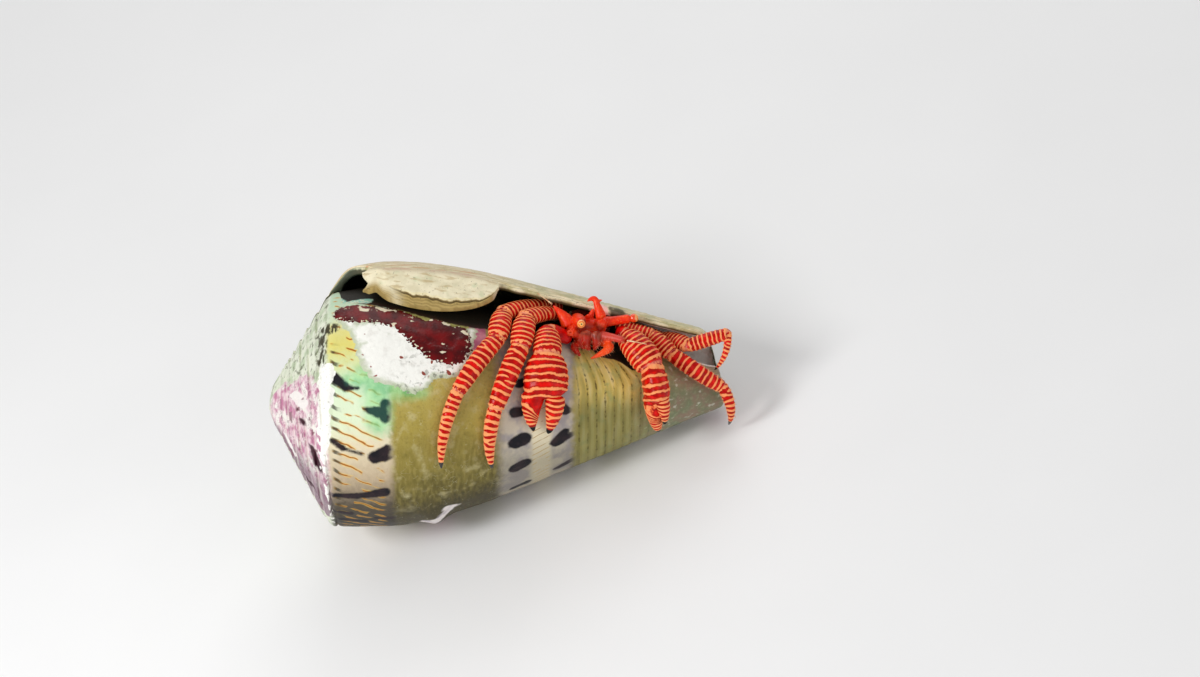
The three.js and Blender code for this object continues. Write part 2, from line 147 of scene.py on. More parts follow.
def place(along, spin, radius):
    along, spin, radius = np.broadcast_arrays(along, np.radians(spin), radius)
    return np.stack([along, -radius * np.cos(spin), radius * np.sin(spin)], axis=-1)


def to_model(points):
    """From millimetres round the shell's axis to metres in the model."""
    return points @ TURN.T * MM + SPIRE_TIP


def flattened(points):
    """Nothing reaches below the floor that the shell lies on."""
    model = to_model(points)
    model[:, 2] = np.maximum(model[:, 2], 0)
    return (model - SPIRE_TIP) @ TURN / MM


def rough(points, size, seed=0):
    """Smooth noise from -1 to 1, with lumps of that size."""
    shift = Vector((17.3 * seed, 9.1 * seed, 5.7 * seed))
    flat = points.reshape(-1, 3) / size
    values = [noise.noise(Vector(p) + shift) for p in flat]
    return np.array(values).reshape(points.shape[:-1])


def spline(points, count=200):
    """Even Catmull-Rom samples of a line of points."""
    points = np.array(points, float)
    last = len(points) - 1
    s = np.linspace(0, last, count + 1)
    index = np.minimum(s.astype(int), last - 1)
    t = (s - index)[:, None]
    before, start = points[np.maximum(index - 1, 0)], points[index]
    end, after = points[index + 1], points[np.minimum(index + 2, last)]
    v0, v1 = (end - before) / 2, (after - start) / 2
    cubic = 2 * start - 2 * end + v0 + v1
    square = -3 * start + 3 * end - 2 * v0 - v1
    return ((cubic * t + square) * t + v0) * t + start


OUTLINE_CURVE = spline(OUTLINE)


def spire_radius(along, spin):
    lean = np.cos(np.radians(spin - SPIRE_SKEW_SPIN))
    tip = SPIRE_RADIUS * (1 + SPIRE_SKEW * lean)
    return tip * np.sqrt(np.clip(along, 0, 1)) + (SPIRE_SLOPE - SPIRE_SKEW * lean) * along


def whorl_radius(along, spin, inset=0.0):
    scale = WHORL_SHRINK ** ((spin - OUTLINE_SPIN) / 360)
    side = scale * np.interp(along / scale, OUTLINE_CURVE[:, 0], OUTLINE_CURVE[:, 1]) - inset
    return soft_min(spire_radius(along - INSET_SHIFT * inset, spin), side, SHOULDER_ROUNDING)


def lip_spin(along):
    return LIP_SPIN + LIP_NOTCH * (1 - ease(along, *LIP_NOTCH_ENDS))


def end_radius(along):
    past = np.maximum(along, END_CENTRE) - END_CENTRE
    return np.sqrt(np.maximum(END_RADIUS**2 - past**2, 0.01))


def outer_radius(along, spin):
    bump = BUMP_HEIGHT * bell(along - BUMP_ALONG, BUMP_LENGTH) * bell(spin - BUMP_SPIN, BUMP_WIDTH)
    radius = whorl_radius(along, spin) + bump
    rounded = soft_min(radius, end_radius(along), END_ROUNDING)
    return np.where(along > END_CENTRE, rounded, radius)


def seat_radius(along, spin):
    """The side of the turn before, which the crab sits on."""
    return whorl_radius(along, spin + 360)


# ---------------------------------------------------------------- meshes


def grid_faces(rows, columns, wrap=False):
    """Quads of a grid of points that is stored row by row."""
    j = np.arange(columns if wrap else columns - 1)
    k = (j + 1) % columns
    base = columns * np.arange(rows - 1)[:, None]
    quads = np.stack([base + j, base + columns + j, base + columns + k, base + k], axis=-1)
    return quads.reshape(-1, 4).tolist()


def closed_tube(points, start, end):
    """Points and faces of a row of rings that is closed with a pole at each end."""
    rows, columns = points.shape[:2]
    flat = points.reshape(-1, 3)
    faces = grid_faces(rows, columns, wrap=True)
    tip = len(flat)
    for j in range(columns):
        k = (j + 1) % columns
        faces.append([tip, j, k])
        faces.append([tip + 1, tip - columns + k, tip - columns + j])
    return np.concatenate([flat, [start, end]]), faces


def mend(mesh, merge=True):
    """Turns the faces outwards, first without doubles and loose points where merge is set."""
    work = bmesh.new()
    work.from_mesh(mesh)
    if merge:
        bmesh.ops.remove_doubles(work, verts=work.verts, dist=2e-7)
        loose = [v for v in work.verts if not v.link_faces]
        bmesh.ops.delete(work, geom=loose, context="VERTS")
    bmesh.ops.recalc_face_normals(work, faces=work.faces)
    work.to_mesh(mesh)
    work.free()


def link_object(name, data):
    made = bpy.data.objects.new(name, data)
    bpy.context.scene.collection.objects.link(made)
    return made


def evaluated_mesh(piece):
    """The piece's mesh with its modifiers applied."""
    graph = bpy.context.evaluated_depsgraph_get()
    return bpy.data.meshes.new_from_object(piece.evaluated_get(graph))


def make_piece(name, form, material, layers=None, sharp=60, merge=True):
    """A mesh object from points in mm round the shell's axis and their faces."""
    points, faces = form
    mesh = bpy.data.meshes.new(name)
    mesh.from_pydata(to_model(np.asarray(points)), [], faces)
    for layer, values in (layers or {}).items():
        values = np.asarray(values, np.float32)
        kind, slot = ("FLOAT_VECTOR", "vector") if values.ndim == 2 else ("FLOAT", "value")
        mesh.attributes.new(layer, kind, "POINT").data.foreach_set(slot, values.ravel())
    if merge:
        mend(mesh)
    mesh.shade_smooth()
    mesh.set_sharp_from_angle(angle=math.radians(sharp))
    mesh.materials.append(material)
    return link_object(name, mesh)


def dress(piece, slot, *nodes):
    """The piece stands for those CAD nodes and moves with the model."""
    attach(piece, "root")
    if nodes:
        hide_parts(*nodes)


# ---------------------------------------------------------------- node materials


def srgb(red, green, blue):
    """A colour given as 0 to 255 on screen, as the shaders want it."""
    values = np.array([red, green, blue]) / 255
    linear = np.where(values <= 0.04045, values / 12.92, ((values + 0.055) / 1.055) ** 2.4)
    return tuple(float(v) for v in linear)


def add_node(tree, kind, settings=None, values=None):
    """A node of that type with its settings, then the values or links of its sockets.

    A colour given as a tuple is 0 to 255 on screen.
    """
    made = tree.nodes.new(kind)
    for key, value in (settings or {}).items():
        if key != "stops":
            setattr(made, key, value)
            continue
        elements = made.color_ramp.elements
        while len(elements) < len(value):
            elements.new(0.5)
        for element, (position, tone) in zip(elements, value.items()):
            element.position = position
            element.color = (*srgb(*tone), 1)
    for key, value in (values or {}).items():
        socket = made.inputs[key]
        value = getattr(value, "socket", value)
        if isinstance(value, bpy.types.NodeSocket):
            tree.links.new(value, socket)
        elif socket.type == "RGBA":
            socket.default_value = (*(srgb(*value) if isinstance(value, tuple) else value), 1)
        else:
            socket.default_value = value
    return made


class Wire:
    """A node's output that can be used in sums."""

    def __init__(self, paint, socket):
        self.paint = paint
        self.socket = socket

    def sum(self, operation, first, second=0.0):
        return self.paint.node("ShaderNodeMath", {"operation": operation}, {0: first, 1: second})

    def __add__(self, other):
        return self.sum("ADD", self, other)

    def __sub__(self, other):
        return self.sum("SUBTRACT", self, other)

    def __rsub__(self, other):
        return self.sum("SUBTRACT", other, self)

    def __mul__(self, other):
        return self.sum("MULTIPLY", self, other)

    def __truediv__(self, other):
        return self.sum("DIVIDE", self, other)

    __radd__ = __add__
    __rmul__ = __mul__

    def largest(self, other):
        return self.sum("MAXIMUM", self, other)

    def wave(self):
        """The sine, brought to 0 to 1."""
        return self.sum("SINE", self) * 0.5 + 0.5

    def step(self, low, high):
        """0 below low, 1 above high and smooth between."""
        settings = {"interpolation_type": "SMOOTHSTEP"}
        values = {"Value": self, "From Min": low, "From Max": high}
        return self.paint.node("ShaderNodeMapRange", settings, values)

    def fall(self, low, high):
        """1 below low, 0 above high and smooth between."""
        return 1 - self.step(low, high)

    def coats(self, *coats):
        """This colour under coats of paint, each given as its mask and its colour."""
        colour = self
        for mask, tone in coats:
            colour = self.paint.mix(mask, colour, tone)
        return colour


class Paint:
    """A node material that is being put together."""

    def __init__(self, name):
        self.material = bpy.data.materials.new(name)
        self.material.use_nodes = True
        self.tree = self.material.node_tree
        self.tree.nodes.clear()

    def node(self, kind, settings=None, values=None, output=0):
        return Wire(self, add_node(self.tree, kind, settings, values).outputs[output])

    def layer(self, name, output="Fac"):
        return self.node("ShaderNodeAttribute", {"attribute_name": name}, output=output)

    @cached_property
    def spot(self):
        """Object coordinates in millimetres."""
        where = self.node("ShaderNodeTexCoord", output="Object")
        values = {0: where, "Scale": 1 / MM}
        return self.node("ShaderNodeVectorMath", {"operation": "SCALE"}, values)

    def noise(self, size, detail=2, where=None):
        """Noise from 0 to 1 with lumps of that size in mm."""
        values = {"Vector": where or self.spot, "Scale": 1 / size, "Detail": detail}
        return self.node("ShaderNodeTexNoise", None, values)

    def streaks(self, along, across, size, detail=3):
        """Noise that is drawn out over a surface."""
        where = self.node("ShaderNodeCombineXYZ", None, {0: along, 1: across})
        return self.noise(size, detail, where)

    def veins(self, size, width):
        """1 along thin wandering lines."""
        gap = self.noise(size) - 0.5
        return (gap * gap).fall(0, width * width)

    def ramp(self, position, stops):
        return self.node("ShaderNodeValToRGB", {"stops": stops}, {"Fac": position})

    def mix(self, share, first, second):
        settings = {"data_type": "RGBA", "clamp_result": False}
        return self.node("ShaderNodeMix", settings, {0: share, 6: first, 7: second}, output=2)

    def parts(self, vector):
        """The three numbers of a vector."""
        split = add_node(self.tree, "ShaderNodeSeparateXYZ", None, {0: vector})
        return [Wire(self, socket) for socket in split.outputs]

    def finish(self, colour, roughness, height=None, depth=0.0, **constants):
        """The shader itself: height is a bump in mm when multiplied by depth."""
        values = {"Base Color": colour, "Roughness": roughness}
        if height is not None:
            bump = {"Strength": 1, "Distance": depth * MM, "Height": height}
            values["Normal"] = self.node("ShaderNodeBump", None, bump)
        for key, value in constants.items():
            values[key.replace("_", " ").title().replace("Ior", "IOR")] = value
        shader = self.node("ShaderNodeBsdfPrincipled", None, values)
        add_node(self.tree, "ShaderNodeOutputMaterial", None, {0: shader})
        return self.material


# ---------------------------------------------------------------- patches on the shell

ARC = 0.40  # mm of the surface for a degree of spin, as patches are measured
FAR_OUTSIDE = -50.0


def strokes(along, spin, lines):
    """Distance in mm inside a patch that is drawn with round strokes that taper.

    Each stroke is (along, spin, radius) twice. Outside the patch it is negative.
    """
    best = np.full(np.shape(along), FAR_OUTSIDE)
    for x0, s0, r0, x1, s1, r1 in lines:
        dx, ds = x1 - x0, (s1 - s0) * ARC
        px, ps = along - x0, (spin - s0) * ARC
        t = np.clip((px * dx + ps * ds) / max(dx * dx + ds * ds, 1e-6), 0, 1)
        best = np.maximum(best, lerp(r0, r1, t) - np.hypot(px - t * dx, ps - t * ds))
    return best


# The mouth side of the last whorl has spins from -90 to 66; the seat of the crab goes on above.
PATCHES = {
    "algae": [
        (17.2, 50.6, 2.5, 27, 45.8, 2.5), (27.5, 45.4, 2.5, 35, 29.8, 4.2),
        (35, 40, 2.8, 37.2, 26.6, 3.6), (39.2, 38.5, 1.9, 38.8, 29, 2.6),
    ],
    "fleck": [
        (20, 52, 0.45, 21.6, 51, 0.4), (23.2, 53, 0.35, 25, 50.5, 0.5),
        (25.6, 51, 0.3, 27, 50.5, 0.2), (32.8, 46, 0.25, 33.8, 45.2, 0.3),
        (36, 44.6, 0.35, 37.2, 43.4, 0.45), (39.8, 39.5, 0.35, 40.4, 38, 0.5),
        (35.8, 29.8, 0.25, 37.2, 27.8, 0.2), (35.6, 24.6, 0.35, 36.2, 24.2, 0.3),
        (29.9, 43.5, 0.25, 30.4, 43, 0.2),
    ],
    "crust": [
        (16.2, 50.5, 1.9, 19, 38, 1.2), (21, 36, 3.2, 27, 24, 4.2),
        (24, 39, 2.2, 30.5, 31, 2.6), (21.6, 26, 2.8, 24, 17.5, 3.5),
        (24, 17.5, 3.4, 30, 14, 4.3), (32, 20, 4.0, 37, 19, 3.4),
        (39, 22, 2.3, 41.5, 41, 1.1),
    ],
    "mauve": [(42.6, 46, 1.6, 42.6, 28, 1.8)],
    "stain": [
        (17, 11, 1.2, 23, 13, 3.0), (23, 12, 3.0, 22.6, -9, 2.3), (26, 6, 2.2, 31, 5, 1.4),
    ],
    "weed": [(17.4, 60.5, 0.7, 21.6, 60, 0.9), (15.8, 66, 0.7, 16.6, 62, 0.8)],
    "pearl": [
        (30, -84, 1.6, 34.5, -73, 1.1), (34, -70, 0.8, 36.5, -71, 0.5),
        (69.2, 27.5, 0.3, 71, 19, 0.4),
    ],
    "coralline": [
        (6, 14, 4.4, 7.5, -62, 4.4), (9.6, 6, 3.2, 9.8, -60, 3.2),
        (2.5, 30, 2.2, 2.5, -60, 2.2),
    ],
    "spire_white": [(5.8, 12, 1.0, 7.6, 2, 1.3), (3.4, -40, 0.6, 5, -52, 0.7)],
    # dips in the spire that the material darkens with painted shade
    "hollow": [
        (7.2, -10, 0.75, 7.5, -12, 0.7), (8.9, -25, 0.7, 10, -34, 1.1),
        (6.7, -60, 0.5, 8.6, -57, 0.6),
    ],
    "scallop": [
        (13, 18, 1.5, 12.4, 3, 1.5), (12.4, 3, 1.5, 11.6, -14, 1.3),
        (11.6, -14, 1.1, 11.3, -34, 0.5), (11.3, -34, 0.25, 11.7, -80, 0.05),
    ],
    "dark_step": [(12.2, 44, 1.2, 14.8, 41, 1.2), (12.6, 40, 1.0, 11.9, 22, 0.8)],
    "blotch": [
        # the rows on the shoulder
        (14.4, 13.5, 1.1, 16.8, 8, 0.8), (16.8, 8, 0.7, 19.2, 7, 0.25),
        (24.2, -1.5, 1.2, 24.0, -6.8, 1.35), (22.4, -4.5, 1.1, 20, -3, 0.4),
        (13.1, -17, 0.5, 15.2, -21, 0.6), (15.2, -21, 0.3, 19, -24.5, 0.35),
        (21.2, -26.5, 1.25, 23.9, -24.5, 1.6), (12.3, -47.5, 0.5, 17, -49, 0.9),
        (17, -49, 0.7, 22.6, -46.5, 1.15), (12.4, -61, 0.4, 15.4, -63, 0.7),
        (13.4, -70, 0.7, 18, -73, 0.9), (20, -68, 0.4, 23.6, -69, 0.7),
        # the two rows on the pale band
        (49.9, 6, 1.2, 51, 6.5, 1.15), (49.1, -12.5, 1.4, 50.4, -12.5, 1.3),
        (48.9, -32.6, 1.75, 50, -31.5, 1.95), (48.5, -52.8, 1.6, 50.2, -51, 1.5),
        (47.6, -77, 1.0, 50.2, -75.5, 1.1), (58.2, -13.5, 1.1, 58.9, -17, 1.2),
        (57, -40.5, 1.7, 58.4, -33.5, 1.0), (58, -39, 1.4, 59.4, -38, 1.1),
        (56.4, -71, 0.9, 59.4, -67, 1.2),
    ],
}
# The side that is turned away carries the same rows, a little less even: each is where it lies
# along the shell, the gap between blotches in degrees and their radius.
REAR_ROWS = ((23.6, 21.0, 1.2), (49.6, 19.5, 1.4), (58.2, 23.0, 1.4))
REAR_SPINS = (-96.0, -288)


def rear_blotches():
    """Blotches of the three rows round the side that is turned away."""
    spread = np.random.default_rng(5)
    blotches = []
    for along, gap, radius in REAR_ROWS:
        spin, last = REAR_SPINS
        while spin > last:
            x = along + spread.uniform(-0.4, 0.4)
            size = radius * spread.uniform(0.7, 1.1)
            blotches.append((x - 0.8, spin, size, x + 0.8, spin + spread.uniform(-2, 2), size))
            spin -= gap * spread.uniform(0.8, 1.2)
    return blotches


# ---------------------------------------------------------------- settings a user can change


def number(name, description, default, **more):
    return bpy.props.FloatProperty(name=name, description=description, default=default, **more)


def length(name, description, default):
    return number(name, description, default, unit="LENGTH", precision=5)


def colour(name, description, *default):
    return bpy.props.FloatVectorProperty(
        name=name, description=description, default=srgb(*default), subtype="COLOR", size=3,
        min=0, max=1,
    )


class ShellSettings(bpy.types.PropertyGroup):
    """Sizes and colours of the cone shell and of what grows on it."""

    relief: number("Relief", "Strength of the lumps and ridges", 1.0, min=0, max=2)
    cord_gap: length("Cord gap", "Distance between the cords near the mouth end", 0.00175)
    skin: colour("Skin", "Khaki skin over most of the shell", 174, 158, 86)
    cream: colour("Cream", "Bare shell of the pale band", 208, 198, 178)
    blotch: colour("Blotches", "Dark marks of the bands", 20, 18, 26)
    line: colour("Lines", "Thin wavy lines of the bands", 176, 104, 28)
    crust: colour("Crust", "Chalky white crust", 250, 249, 242)
    algae: colour("Algae", "Dark red algae beside the mouth", 118, 4, 8)
    coralline: colour("Coralline crust", "Pink crust of the spire", 196, 128, 158)
    # the deep inside of the mouth is partly dark stain, partly painted shade
    inside: colour("Inside", "Deep inside of the mouth", 28, 24, 16)


class CrabSettings(bpy.types.PropertyGroup):
    """Sizes and colours of the crab."""

    ring_height: length("Ring height", "How far the rings of the limbs stand out", 0.00013)
    red: colour("Red", "Limbs between their rings", 234, 13, 5)
    ring: colour("Rings", "Raised rings of the limbs", 255, 164, 104)
    joint: colour("Joints", "Soft skin at the joints of the limbs", 226, 132, 118)
    claw: colour("Claw tips", "Black tips of legs and fingers", 18, 15, 16)
    face: colour("Face", "Skin of the head and its feelers", 250, 66, 18)
    eye: colour("Eyes", "Ring round the centre of the eye", 255, 186, 84)
    body: colour("Body", "Soft body inside the shell", 226, 172, 142)


class StageSettings(bpy.types.PropertyGroup):
    """Floor, light and camera."""

    floor_size: length("Floor", "Side of the floor", 6.0)
    key_power: number("Key light", "Power in watts", 1.3)
    sky: number("Sky", "Strength of the light from all round", 0.44)


# ---------------------------------------------------------------- the shell

# along and spin of the line where the worn outside turns into the dark mouth
MOUTH_EDGE = (
    [14, 15.4, 16.4, 20, 24, 30, 35.5, 41, 60, 64, 66.4, 69, 70.4, 71.4, 72.4, 73.2, 74.2, 76, 90],
    [110, 85, 61, 57.5, 54, 50, 45.5, 44, 47, 44, 31.5, 31, 27, 22.5, 18, 17, 34, 50, 54],
)
SPIRE_START = 0.3
SPIRE_STEP = 0.36
BODY_ROWS = 168
COLUMN_STEP = 1.25  # degrees between columns of the last whorl
COLUMNS = int(360 / COLUMN_STEP)
HOLLOW_COLUMN = int(HOLLOW_TURN / COLUMN_STEP)
LIP_STEPS = 4
LIP_SETBACK = 1.2
LIP_WANDER = 0.9
END_SLANT = 1.6
FIRST_SUTURE = 13.6  # where the suture of the last whorl lies at the outline's spin
CORD_SLANT = 0.012  # mm along the shell for a degree of spin
CORD_BEND = 3.9
BAND_SLANT = 0.016
# how far each of these stands out, or goes in, in mm
RELIEF = {
    "crust": 0.16, "algae": 0.18, "coralline": 0.22, "scallop": 0.3, "cord": 0.045,
    "pit": 0.55, "whorl": 0.7, "suture": 0.35,
}
CORE_SPIN = 300  # columns further round than this belong to the core
OUTSIDE, SEAT, HOLLOW, LIP = 0.0, 1.0, 2.0, 2.3  # the kinds of surface, in the third of "lay"


def cord_line(along, front):
    """Where a point lies across the cords, which bend back beside the mouth."""
    bend = (np.clip(front + 5, 0, 70) / 40) ** 2 * np.clip((along - 55) / 14, 0, 1.2)
    return along - CORD_SLANT * np.clip(front, -100, 0) + CORD_BEND * bend


def spire_step(along, spin):
    """0 on a suture of the spire and 1 just before the next one."""
    turns = np.log(np.maximum(along, 0.5) / FIRST_SUTURE) / math.log(WHORL_SHRINK)
    return (turns - (spin - OUTLINE_SPIN) / 360) % 1


def lip_edge(along):
    """Spin of the lip's edge, a little ragged."""
    wander = rough(np.stack([along, 0 * along, 0 * along], axis=-1), 2.6, 3)
    return lip_spin(along) + LIP_SETBACK + LIP_WANDER * wander


def wall_rim(turn):
    """Where along the axis the wall of the last whorl ends, for turns behind the lip."""
    along = np.linspace(RIM_START, SHELL_END, 240)[:, None]
    outside = whorl_radius(along, LIP_SPIN + turn) > end_radius(along)
    rim = np.where(outside.any(axis=0), along[np.argmax(outside, axis=0), 0], SHELL_END)
    return lerp(rim + 0.4, SHELL_END, ease(turn, HOLLOW_TURN - 55, HOLLOW_TURN - 5))


def shortened(along, rim):
    """Moves stations near the mouth end back, so that the last one lies on the rim."""
    past = np.maximum(along - RIM_START, 0) / (SHELL_END - RIM_START)
    return np.where(along > RIM_START, RIM_START + past * (rim - RIM_START), along)


def zip_faces(first, second):
    """Triangles between two rows of points of different count, both from end to end."""
    faces = []
    i = j = 0
    while i < len(first) - 1 or j < len(second) - 1:
        behind = i < len(first) - 1 and i / (len(first) - 1) < j / (len(second) - 1)
        if j == len(second) - 1 or behind:
            faces.append((first[i], second[j], first[i + 1]))
            i += 1
        else:
            faces.append((first[i], second[j], second[j + 1]))
            j += 1
    return faces


class ShellForm:
    """Points, faces and layers of the whole shell.

    Its columns are the outside, the seat, the hollow from its far end back, and the lip.
    """

    def __init__(self, relief, cord_gap):
        spire = np.arange(SPIRE_START, HOLLOW_START - 0.2, SPIRE_STEP)
        body = np.linspace(HOLLOW_START, SHELL_END, BODY_ROWS)
        self.along = np.concatenate([spire, body])
        self.start = len(spire)
        self.edge = lip_edge(self.along)
        near = np.arange(1, 41) * COLUMN_STEP
        self.turns = np.concatenate([near, np.linspace(56, HOLLOW_TURN, 22)])
        self.far_seat = COLUMNS + len(self.turns)
        self.first_inner = self.far_seat + len(self.turns) + 1
        self.relief = relief
        self.cord_gap = cord_gap
        self.outer = self.outer_columns()
        self.seat = self.seat_columns()
        self.inner = self.inner_columns()
        self.lip = self.lip_columns()

    def outer_columns(self):
        turn = np.arange(COLUMNS + 1) * COLUMN_STEP
        rim = np.full(COLUMNS + 1, SHELL_END)
        rim[: HOLLOW_COLUMN + 1] = wall_rim(turn[: HOLLOW_COLUMN + 1])
        along = shortened(self.along[:, None], rim)
        spin = self.edge[:, None] + turn
        return along, spin, outer_radius(along, spin) + self.lift(along, spin)

    def lift(self, along, spin):
        """What stands out of the smooth form: crusts, cords, sutures and lumps."""
        points = place(along, spin, outer_radius(along, spin))
        front = spin - 360

        def frayed(name, fray, size, seed):
            return strokes(along, front, PATCHES[name]) + fray * rough(points, size, seed)

        lift = 0.10 * rough(points, 6.5, 1) + 0.05 * rough(points, 2.2, 2)
        fine = rough(points, 0.9, 4)
        pink = frayed("coralline", 0.9, 2.0, 7)
        knobs = RELIEF["coralline"] + 0.16 * rough(points, 1.7, 9)
        crust, algae = frayed("crust", 0.7, 1.3, 5), frayed("algae", 0.6, 1.6, 6)
        lift += ease(crust, -0.1, 0.5) * (RELIEF["crust"] + 0.05 * fine)
        lift += ease(algae, -0.1, 0.35) * (RELIEF["algae"] + 0.03 * fine)
        lift += ease(pink, 0, 0.8) * (knobs + 0.08 * fine)
        lift += ease(frayed("scallop", 0.5, 0.9, 8), -0.05, 0.35) * RELIEF["scallop"]
        pits = ease(rough(points, 1.9, 11), 0.4, 0.52) * ease(pink, 0, 0.6)
        self.pits = np.maximum(pits, ease(frayed("hollow", 0.4, 0.9, 10), -0.1, 0.6))
        lift -= RELIEF["pit"] * self.pits
        step = spire_step(along, spin)
        suture = bell(np.minimum(step, 1 - step), 0.11)
        on_spire = (1 - ease(along, 11.5, 14)) * ease(along, 1.5, 4)
        lift += (RELIEF["whorl"] * (0.45 - step) - RELIEF["suture"] * suture) * on_spire
        lift += (0.16 * rough(points, 1.5, 12) + 0.22 * rough(points, 3.1, 13)) * on_spire
        cords = np.cos(FULL_TURN * cord_line(along, front) / self.cord_gap)
        near_end = ease(along, 60, 62.5) * (1 - 0.5 * ease(along, 78, 84))
        lift += RELIEF["cord"] * cords * near_end
        return lift * self.relief

    def seat_columns(self):
        along = np.broadcast_to(self.along[:, None], (len(self.along), len(self.turns)))
        spin = self.edge[:, None] + 360 + self.turns
        last_along, last_spin, last_radius = (values[:, -1:] for values in self.outer)
        step = last_radius - whorl_radius(last_along, last_spin)
        return along, spin, whorl_radius(along, spin) + step * np.exp(-self.turns / 6)

    def inner_columns(self):
        """The roof of the hollow, which comes down to the seat at its far end."""
        turn = np.concatenate([[0], self.turns])
        setback = 0.5 * (1 - ease(turn, 200, 280))
        along = shortened(self.along[:, None], wall_rim(turn) + setback)
        spin = self.edge[:, None] + turn
        seat = np.concatenate([self.outer[2][:, -1:], self.seat[2]], axis=1)
        roof = whorl_radius(along, spin, WALL)
        roof = np.minimum(roof, outer_radius(along, spin) - 0.55)
        roof = np.maximum(roof, seat + 0.05)
        opening = ease(along, HOLLOW_START, HOLLOW_START + 0.9)
        radius = lerp(seat, roof, ease(HOLLOW_TURN - turn, 0, HOLLOW_CLOSING) * opening)
        radius[: self.start] = seat[: self.start, :1]
        return along, spin, radius

    def lip_columns(self):
        """Rounds the edge of the lip between its inner and its outer side."""
        t = np.arange(1, LIP_STEPS + 1) / (LIP_STEPS + 1)
        inner, outer = self.inner[2][:, :1], self.outer[2][:, :1]
        reach = np.minimum(0.36 * (outer - inner), 0.55)
        along = lerp(self.inner[0][:, :1], self.outer[0][:, :1], t)
        setback = np.degrees(reach * np.sin(math.pi * t) / np.maximum(outer, 1))
        return along, self.edge[:, None] - setback, lerp(inner, outer, t)

    def build(self, material):
        groups = [self.outer, self.seat, [values[:, ::-1] for values in self.inner], self.lip]
        along, spin, radius = (np.concatenate([g[k] for g in groups], axis=1) for k in range(3))
        across_lip = LIP + 0.4 * np.arange(1, LIP_STEPS + 1) / (LIP_STEPS + 1)
        kinds = zip(groups, (OUTSIDE, SEAT, HOLLOW, across_lip))
        kind = np.concatenate([np.broadcast_to(k, g[0].shape) for g, k in kinds], axis=1)
        # the hollow closes where its last inner point is its last seat point
        for values in (along, spin, radius):
            values[:, self.far_seat + 1] = values[:, self.far_seat]
        points = place(along, spin, radius)
        # the end of the core is cut off a little aslant
        core = (np.abs(kind - SEAT) < 0.5) | (spin > CORE_SPIN)
        slant = ease(points[..., 2], -4.5, 4.5) * ease(along, 85.5, SHELL_END)
        points[..., 0] -= END_SLANT * slant * core
        pits = np.zeros(along.shape)
        pits[:, : COLUMNS + 1] = self.pits
        points, faces = self.closed(points, self.ring_faces(*along.shape))
        added = len(points) - along.size
        ends = np.full(added, SHELL_END)
        ends[0] = 0
        along = np.concatenate([along.ravel(), ends])
        spin = np.concatenate([spin.ravel(), np.full(added, CORE_SPIN)])
        kind = np.concatenate([kind.ravel(), np.zeros(added)])
        layers = self.layers(along, spin, kind)
        layers["pit"] = np.concatenate([pits.ravel(), np.zeros(added)])
        return make_piece("cone_shell", (flattened(points), faces), material, layers, sharp=50)

    def ring_faces(self, rows, columns):
        """Quads between the rows. Before the hollow starts, one step takes its place."""
        faces = []
        for index, face in enumerate(grid_faces(rows, columns, wrap=True)):
            row, column = divmod(index, columns)
            if row >= self.start or not COLUMNS <= column < self.first_inner:
                faces.append(face)
        for row in range(self.start):
            a, b = row * columns, (row + 1) * columns
            faces.append([a + COLUMNS, b + COLUMNS, b + self.first_inner, a + self.first_inner])
        return faces

    def closed(self, points, faces):
        """Closes the tip of the spire, the rim of the wall and the end of the core."""
        rows, columns = points.shape[:2]
        flat = points.reshape(-1, 3)
        tip, last = len(flat), (rows - 1) * columns
        ring = [*range(COLUMNS + 1), *range(self.first_inner, columns)]
        faces += [[tip, j, k] for j, k in zip(ring, ring[1:] + ring[:1])]
        outer_rim = [last + j for j in range(HOLLOW_COLUMN + 1)]
        inner_rim = [last + self.first_inner - j for j in range(len(self.turns) + 1)]
        faces += zip_faces(outer_rim, inner_rim)
        faces.append([last, *range(last + columns - 1, last + self.first_inner - 1, -1)])
        core = range(last + HOLLOW_COLUMN, last + self.far_seat + 1)
        centre = flat[core].mean(axis=0)
        domes = [
            lerp(centre, flat[core], share) + [ahead, 0, 0]
            for share, ahead in ((0.85, 0.3), (0.5, 0.55))
        ]
        count = len(core)
        loops = [core, range(tip + 1, tip + 1 + count), range(tip + 1 + count, tip + 1 + 2 * count)]
        pole = loops[2].stop
        for j in range(count):
            k = (j + 1) % count
            faces += [[a[j], a[k], b[k], b[j]] for a, b in zip(loops, loops[1:])]
            faces.append([loops[2][j], loops[2][k], pole])
        ends = [place(0, 0, 0)], *domes, [centre + [0.6, 0, 0]]
        return np.concatenate([flat, *ends]), faces

    def layers(self, along, spin, kind):
        """What the material reads: where each point lies, and how deep in each patch."""
        front = spin - 360
        on_front = kind < 1.5
        patches = {**PATCHES, "blotch": PATCHES["blotch"] + rear_blotches()}
        layers = {
            name: np.where(on_front, strokes(along, front, lines), FAR_OUTSIDE)
            for name, lines in patches.items()
        }
        band = along - BAND_SLANT * np.clip(front, -100, LIP_SPIN)
        layers["lay"] = np.stack([band, front * ARC, kind], axis=-1)
        deep = np.where(on_front, (front - np.interp(along, *MOUTH_EDGE)) * ARC, 6.0)
        layers["deep"] = np.where(kind > 2.2, -1.0, deep)
        layers["cord"] = cord_line(along, front)
        layers["step"] = np.where(on_front, spire_step(along, spin), 0.5)
        return layers


